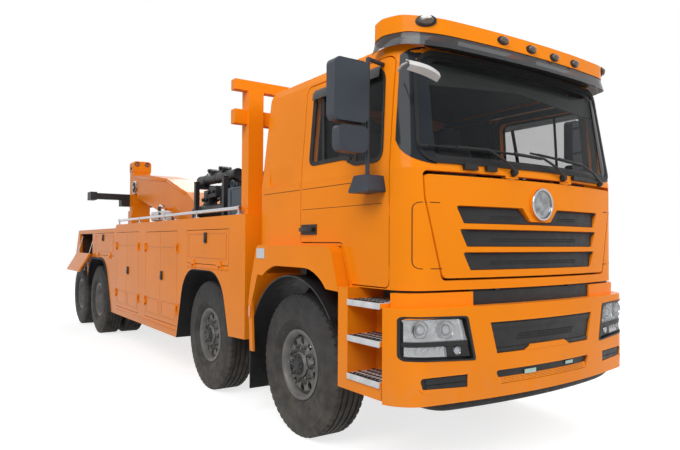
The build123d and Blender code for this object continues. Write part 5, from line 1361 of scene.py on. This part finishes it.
TUBES = (
    # y, z, radius, rear x, front x
    (-0.440, 1.930, 0.082, -3.990, -2.720),
    (-0.200, 1.930, 0.082, -3.900, -2.720),
    (0.200, 1.930, 0.082, -3.900, -2.720),
    (0.440, 1.930, 0.082, -3.990, -2.720),
    (-0.400, 2.365, 0.068, -3.960, -2.750),
    (0.0, 2.365, 0.068, -3.960, -2.750),
    (0.400, 2.365, 0.068, -3.960, -2.750),
)
TUBE_END = ((0.70, 0.0), (0.70, 0.010), (0.78, 0.014), (0.98, 0.014), (1.06, 0.008), (1.06, -0.040),
            (0.99, -0.044), (0.99, 0.0))
TUBE_BAND = ((0.99, -0.022), (1.07, -0.018), (1.07, 0.018), (0.99, 0.022))
FORK_HEADS = (
    # x, y, z, length, width, height
    (-2.95, -0.40, 2.215, 0.30, 0.13, 0.10),
    (-3.40, -0.40, 2.180, 0.26, 0.15, 0.15),
    (-3.68, -0.38, 2.090, 0.20, 0.13, 0.26),
    (-3.10, -0.36, 2.080, 0.36, 0.12, 0.14),
    (-3.40, 0.00, 2.200, 0.40, 0.16, 0.14),
    (-3.20, 0.38, 2.180, 0.34, 0.15, 0.16),
    (-3.35, -0.12, 2.075, 0.80, 0.10, 0.09),
    (-3.30, 0.15, 2.080, 0.70, 0.10, 0.10),
)
collars, bores = Shape(), Shape()
for y, z, r, x0, x1 in TUBES:
    for x, way in ((x0, -1), (x1, 1)):
        collars.lathe(sized(TUBE_END, r), at(x, y, z), FORWARD * way, 32)
        # black disc in the tube's mouth: painted shade inside the open tube
        bores.cap([(r * 0.72, 0), (r * 0.72, 0.002)], at(x + way * 0.001, y, z), FORWARD * way)
    for x in spread(x0 + 0.22, x1 - 0.22, 3):
        collars.lathe(sized(TUBE_BAND, r), at(x, y, z), FORWARD, 32)
        collars.rod(at(x, y, z + r * 0.8), at(x, y, z + r * 1.32), 0.012, 12)
for x in (-2.85, -3.80):
    for y in (-0.53, 0.53):
        collars.box(at(x, y, 1.206), (0.13, 0.13, 0.012), 0.004)
        collars.box(at(x, y, 2.334), (0.068, 0.068, 0.012), 0.004)
for x, y, z, long, wide, tall in FORK_HEADS:
    collars.box(at(x, y, z), (long, wide, tall), 0.014)
    for shift, radius in ((-0.3, 0.026), (0.3, 0.020)):
        pin_x = x + long * shift
        collars.rod(at(pin_x, y - wide * 0.75, z), at(pin_x, y + wide * 0.75, z), radius, 16)
for x, y in ((-3.15, -0.40), (-3.52, -0.40), (-3.30, 0.0), (-3.05, 0.40), (-3.60, 0.40)):
    collars.box(at(x, y, 2.452), (0.11, 0.12, 0.075), 0.012, Matrix.Rotation(0.35, 3, "Y"))
    collars.rod(at(x, y - 0.085, 2.470), at(x, y + 0.085, 2.470), 0.024, 16)
collars.done("fork_collars", "rack_paint")
bores.done("fork_tube_bore_shade", "rubber")

# Boom: pin caps, edge plates and end sheaves; mast: pin caps and plates; rope, cylinder glands, underlift plates

BOOM_PINS = ((-4.350, 1.900, 0.348, 0.074), (-5.650, 2.050, 0.455, 0.046))
BOOM_EDGES = ((-4.900, 2.262, -5.80, 2.535), (-5.85, 2.545, -7.50, 2.742))
SHEAVE_RING = ((0.105, 0.002), (0.122, 0.0), (0.122, 0.008), (0.110, 0.014), (0.122, 0.020), (0.122, 0.028),
               (0.105, 0.026))
MAST_EYE = ((0.036, -0.004), (0.044, 0.0), (0.047, 0.004), (0.043, 0.008), (0.037, 0.005))
GLAND = ((0.0605, -0.050), (0.066, -0.046), (0.066, -0.004), (0.060, 0.0), (0.0405, 0.0), (0.0405, -0.050))
ROPE_TURNS = 15
DRUM_R, ROPE_R, ROPE_RISE = 0.1195, 0.133, 0.008
boom_bits, edge_plates, ears, sheaves, sheave_rings = (Shape() for _ in range(5))
mast_bits, ribs, wraps, glands, arm_bits = (Shape() for _ in range(5))
for y in (-0.100, 0.100):
    for x, way in ((-8.220, 1), (-8.480, -1)):
        mast_bits.lathe(MAST_EYE, at(x, y, 3.088), FORWARD * way, 32)
rod_way = Vector((-1.300, 0, 0.600)).normalized()
for side in WAYS:
    out = LEFT * side
    for x, z, y, r in BOOM_PINS:
        boom_bits.cap([(r, 0), (r, 0.010), (r * 0.85, 0.016)], at(x, side * y, z), out)
        for c, s in turns(6):
            spot = at(x + r * 0.62 * c, side * (y + 0.014), z + r * 0.62 * s)
            boom_bits.rod(spot, spot + out * 0.008, 0.0075, 6)
    for x0, z0, x1, z1 in BOOM_EDGES:
        way = Vector((x1 - x0, 0, z1 - z0))
        turn = Matrix.Rotation(-math.atan2(way.z, way.x), 3, "Y")
        edge_plates.box(at((x0 + x1) / 2, side * 0.2945, (z0 + z1) / 2), (way.length, 0.012, 0.045), 0.004, turn)
    hub = at(-7.660, side * 0.292, 2.563)
    ears.box(at(-7.600, side * 0.276, 2.560), (0.150, 0.024, 0.150), 0.006)
    sheaves.cap([(0.104, 0), (0.104, 0.024), (0.070, 0.030)], hub, out, 40)
    sheave_rings.lathe(SHEAVE_RING, hub, out, 40)
    sheave_rings.cap([(0.030, 0.030), (0.030, 0.040), (0.022, 0.044)], hub, out, 24)
    mast_bits.cap([(0.034, 0), (0.034, 0.008), (0.026, 0.012)], at(-8.350, side * 0.181, 3.010), out)
    mast_bits.cap([(0.055, 0), (0.055, 0.010), (0.046, 0.015)], at(-8.600, side * 0.195, 0.640), out)
    ribs.box(at(-8.355, side * 0.173, 1.45), (0.200, 0.008, 1.50), 0.003)
    for z in (0.95, 1.50, 2.05):
        ribs.box(at(-8.355, side * 0.177, z), (0.250, 0.014, 0.040), 0.003)
    foot = at(-4.350, side * 0.410, 1.450)
    glands.lathe(GLAND, foot + rod_way * 0.80, rod_way, 36)
    glands.rod(*(foot + rod_way * 0.16 + Vector((0, side * y, 0.02)) for y in (0.055, 0.09)), 0.014, 12)
    arm_bits.box(at(-8.600, side * 0.1425, 1.50), (0.14, 0.007, 1.10), 0.003)
for z in (1.15, 1.85, 2.30):
    ribs.box(at(-8.227, 0, z), (0.008, 0.30, 0.050), 0.003)
for y0, y1 in ((-0.218, -0.022), (0.022, 0.218)):
    width = (y1 - y0) / ROPE_TURNS
    profile = [(DRUM_R, y0)]
    for k in range(ROPE_TURNS):
        for t in (0.1, 0.3, 0.5, 0.7, 0.9):
            profile.append((ROPE_R + ROPE_RISE * math.sin(math.pi * t), y0 + (k + t) * width))
    wraps.lathe([*profile, (DRUM_R, y1)], at(-5.150, 0, 1.410), LEFT, 56)
for z in (2.120, 1.000):
    arm_bits.box(at(-8.703, 0, z), (0.008, 0.27, 0.05), 0.003)
boom_bits.done("boom_pin_caps", "axle_metal", "boom")
edge_plates.done("boom_edge_plates", "paint", "boom")
ears.done("boom_end_ears", "paint", "boom")
sheaves.done("boom_end_sheaves", "rubber", "boom")
sheave_rings.done("boom_sheave_rings", "alloy", "boom")
mast_bits.done("mast_pin_caps", "black_plastic", "boom_extension")
ribs.done("mast_plates", "paint", "boom_extension")
wraps.done("winch_rope_wraps", "rope", crease=60.0)
glands.done("cylinder_glands", "axle_metal", "lift_barrels")
arm_bits.done("underlift_plates", "paint", "underlift_arm")


# Camera, floor and light

CAMERA_PLACE = at(4.031, -3.536, 1.511)
CAMERA_YAW = math.radians(145.283)
CAMERA_PITCH = math.radians(1.477)
CAMERA_ROLL = math.radians(0.290)
CAMERA_LENS = 31.38
CAMERA_SHIFT = (-0.0016, 0.0038)
WHITE_SEEN = 1.0
AMBIENT = 0.42
FLOOR_GLOW = 0.74
FLOOR_REACH = 60.0
WHITE = (1, 1, 1, 1)
LAMPS = (
    # name, place, aim, size, watts
    ("key", (5.0, -9.0, 9.0), (-2.0, 0.0, 1.2), 7.0, 980.0),
    ("front", (9.0, 4.0, 6.0), (0.0, 0.0, 1.5), 6.0, 420.0),
    ("rear", (-13.0, 6.0, 8.0), (-5.0, 0.0, 1.5), 7.0, 550.0),
)


def add_object(name, data):
    """New object in the scene."""
    made = bpy.data.objects.new(name, data)
    bpy.context.scene.collection.objects.link(made)
    return made


def add_camera():
    """Camera at the photograph's viewing place."""
    data = bpy.data.cameras.new("camera")
    data.sensor_width = 36.0
    data.lens = CAMERA_LENS
    data.shift_x, data.shift_y = CAMERA_SHIFT
    data.clip_end = 300.0
    camera = add_object("camera", data)
    flat = math.cos(CAMERA_PITCH)
    ahead = Vector((math.cos(CAMERA_YAW) * flat, math.sin(CAMERA_YAW) * flat, math.sin(CAMERA_PITCH)))
    turn = ahead.to_track_quat("-Z", "Y").to_matrix() @ Matrix.Rotation(CAMERA_ROLL, 3, "Z")
    camera.matrix_world = Matrix.Translation(CAMERA_PLACE) @ turn.to_4x4()
    bpy.context.scene.camera = camera


def seen_rays(look):
    """Socket that is 1 for what the camera sees directly, in a reflection or through glass."""
    rays = look.add("LightPath", {}).outputs
    seen = look.math("MAXIMUM", rays["Is Camera Ray"], rays["Is Glossy Ray"])
    return look.math("MAXIMUM", seen, rays["Is Transmission Ray"])


def add_stage():
    """Pale floor, white surroundings and soft lamps."""
    mesh = bpy.data.meshes.new("floor")
    corners = [(x * FLOOR_REACH, y * FLOOR_REACH, 0) for x, y in ((-1, -1), (1, -1), (1, 1), (-1, 1))]
    mesh.from_pydata(corners, [], [(0, 1, 2, 3)])
    floor = add_object("floor", mesh)
    material = bpy.data.materials.new("floor")
    look = Look(material)
    shade = look.mix(look.noise(0.8), (0.46, 0.46, 0.46), (0.50, 0.50, 0.50))
    glow = look.span(seen_rays(look), 0.0, 1.0, 0.0, FLOOR_GLOW)
    look.feed(look.shader, {"Base Color": shade, "Roughness": 0.9, "Emission Color": WHITE,
                            "Emission Strength": glow})
    mesh.materials.append(material)
    world = bpy.data.worlds.new("world")
    bpy.context.scene.world = world
    look = Look(world, "Background", False)
    glow = look.span(seen_rays(look), 0.0, 1.0, AMBIENT, WHITE_SEEN)
    look.feed(look.shader, {"Color": WHITE, "Strength": glow})
    for name, place, aim, size, power in LAMPS:
        data = bpy.data.lights.new(name, "AREA")
        data.size = size
        data.energy = power
        lamp = add_object(name, data)
        lamp.location = at(*place)
        lamp.rotation_euler = (at(*aim) - lamp.location).to_track_quat("-Z", "Y").to_euler()
        lamp.visible_glossy = name != "front"  # its mirror image would speckle the windscreen


add_camera()
add_stage()
bpy.context.scene.view_settings.view_transform = "Standard"
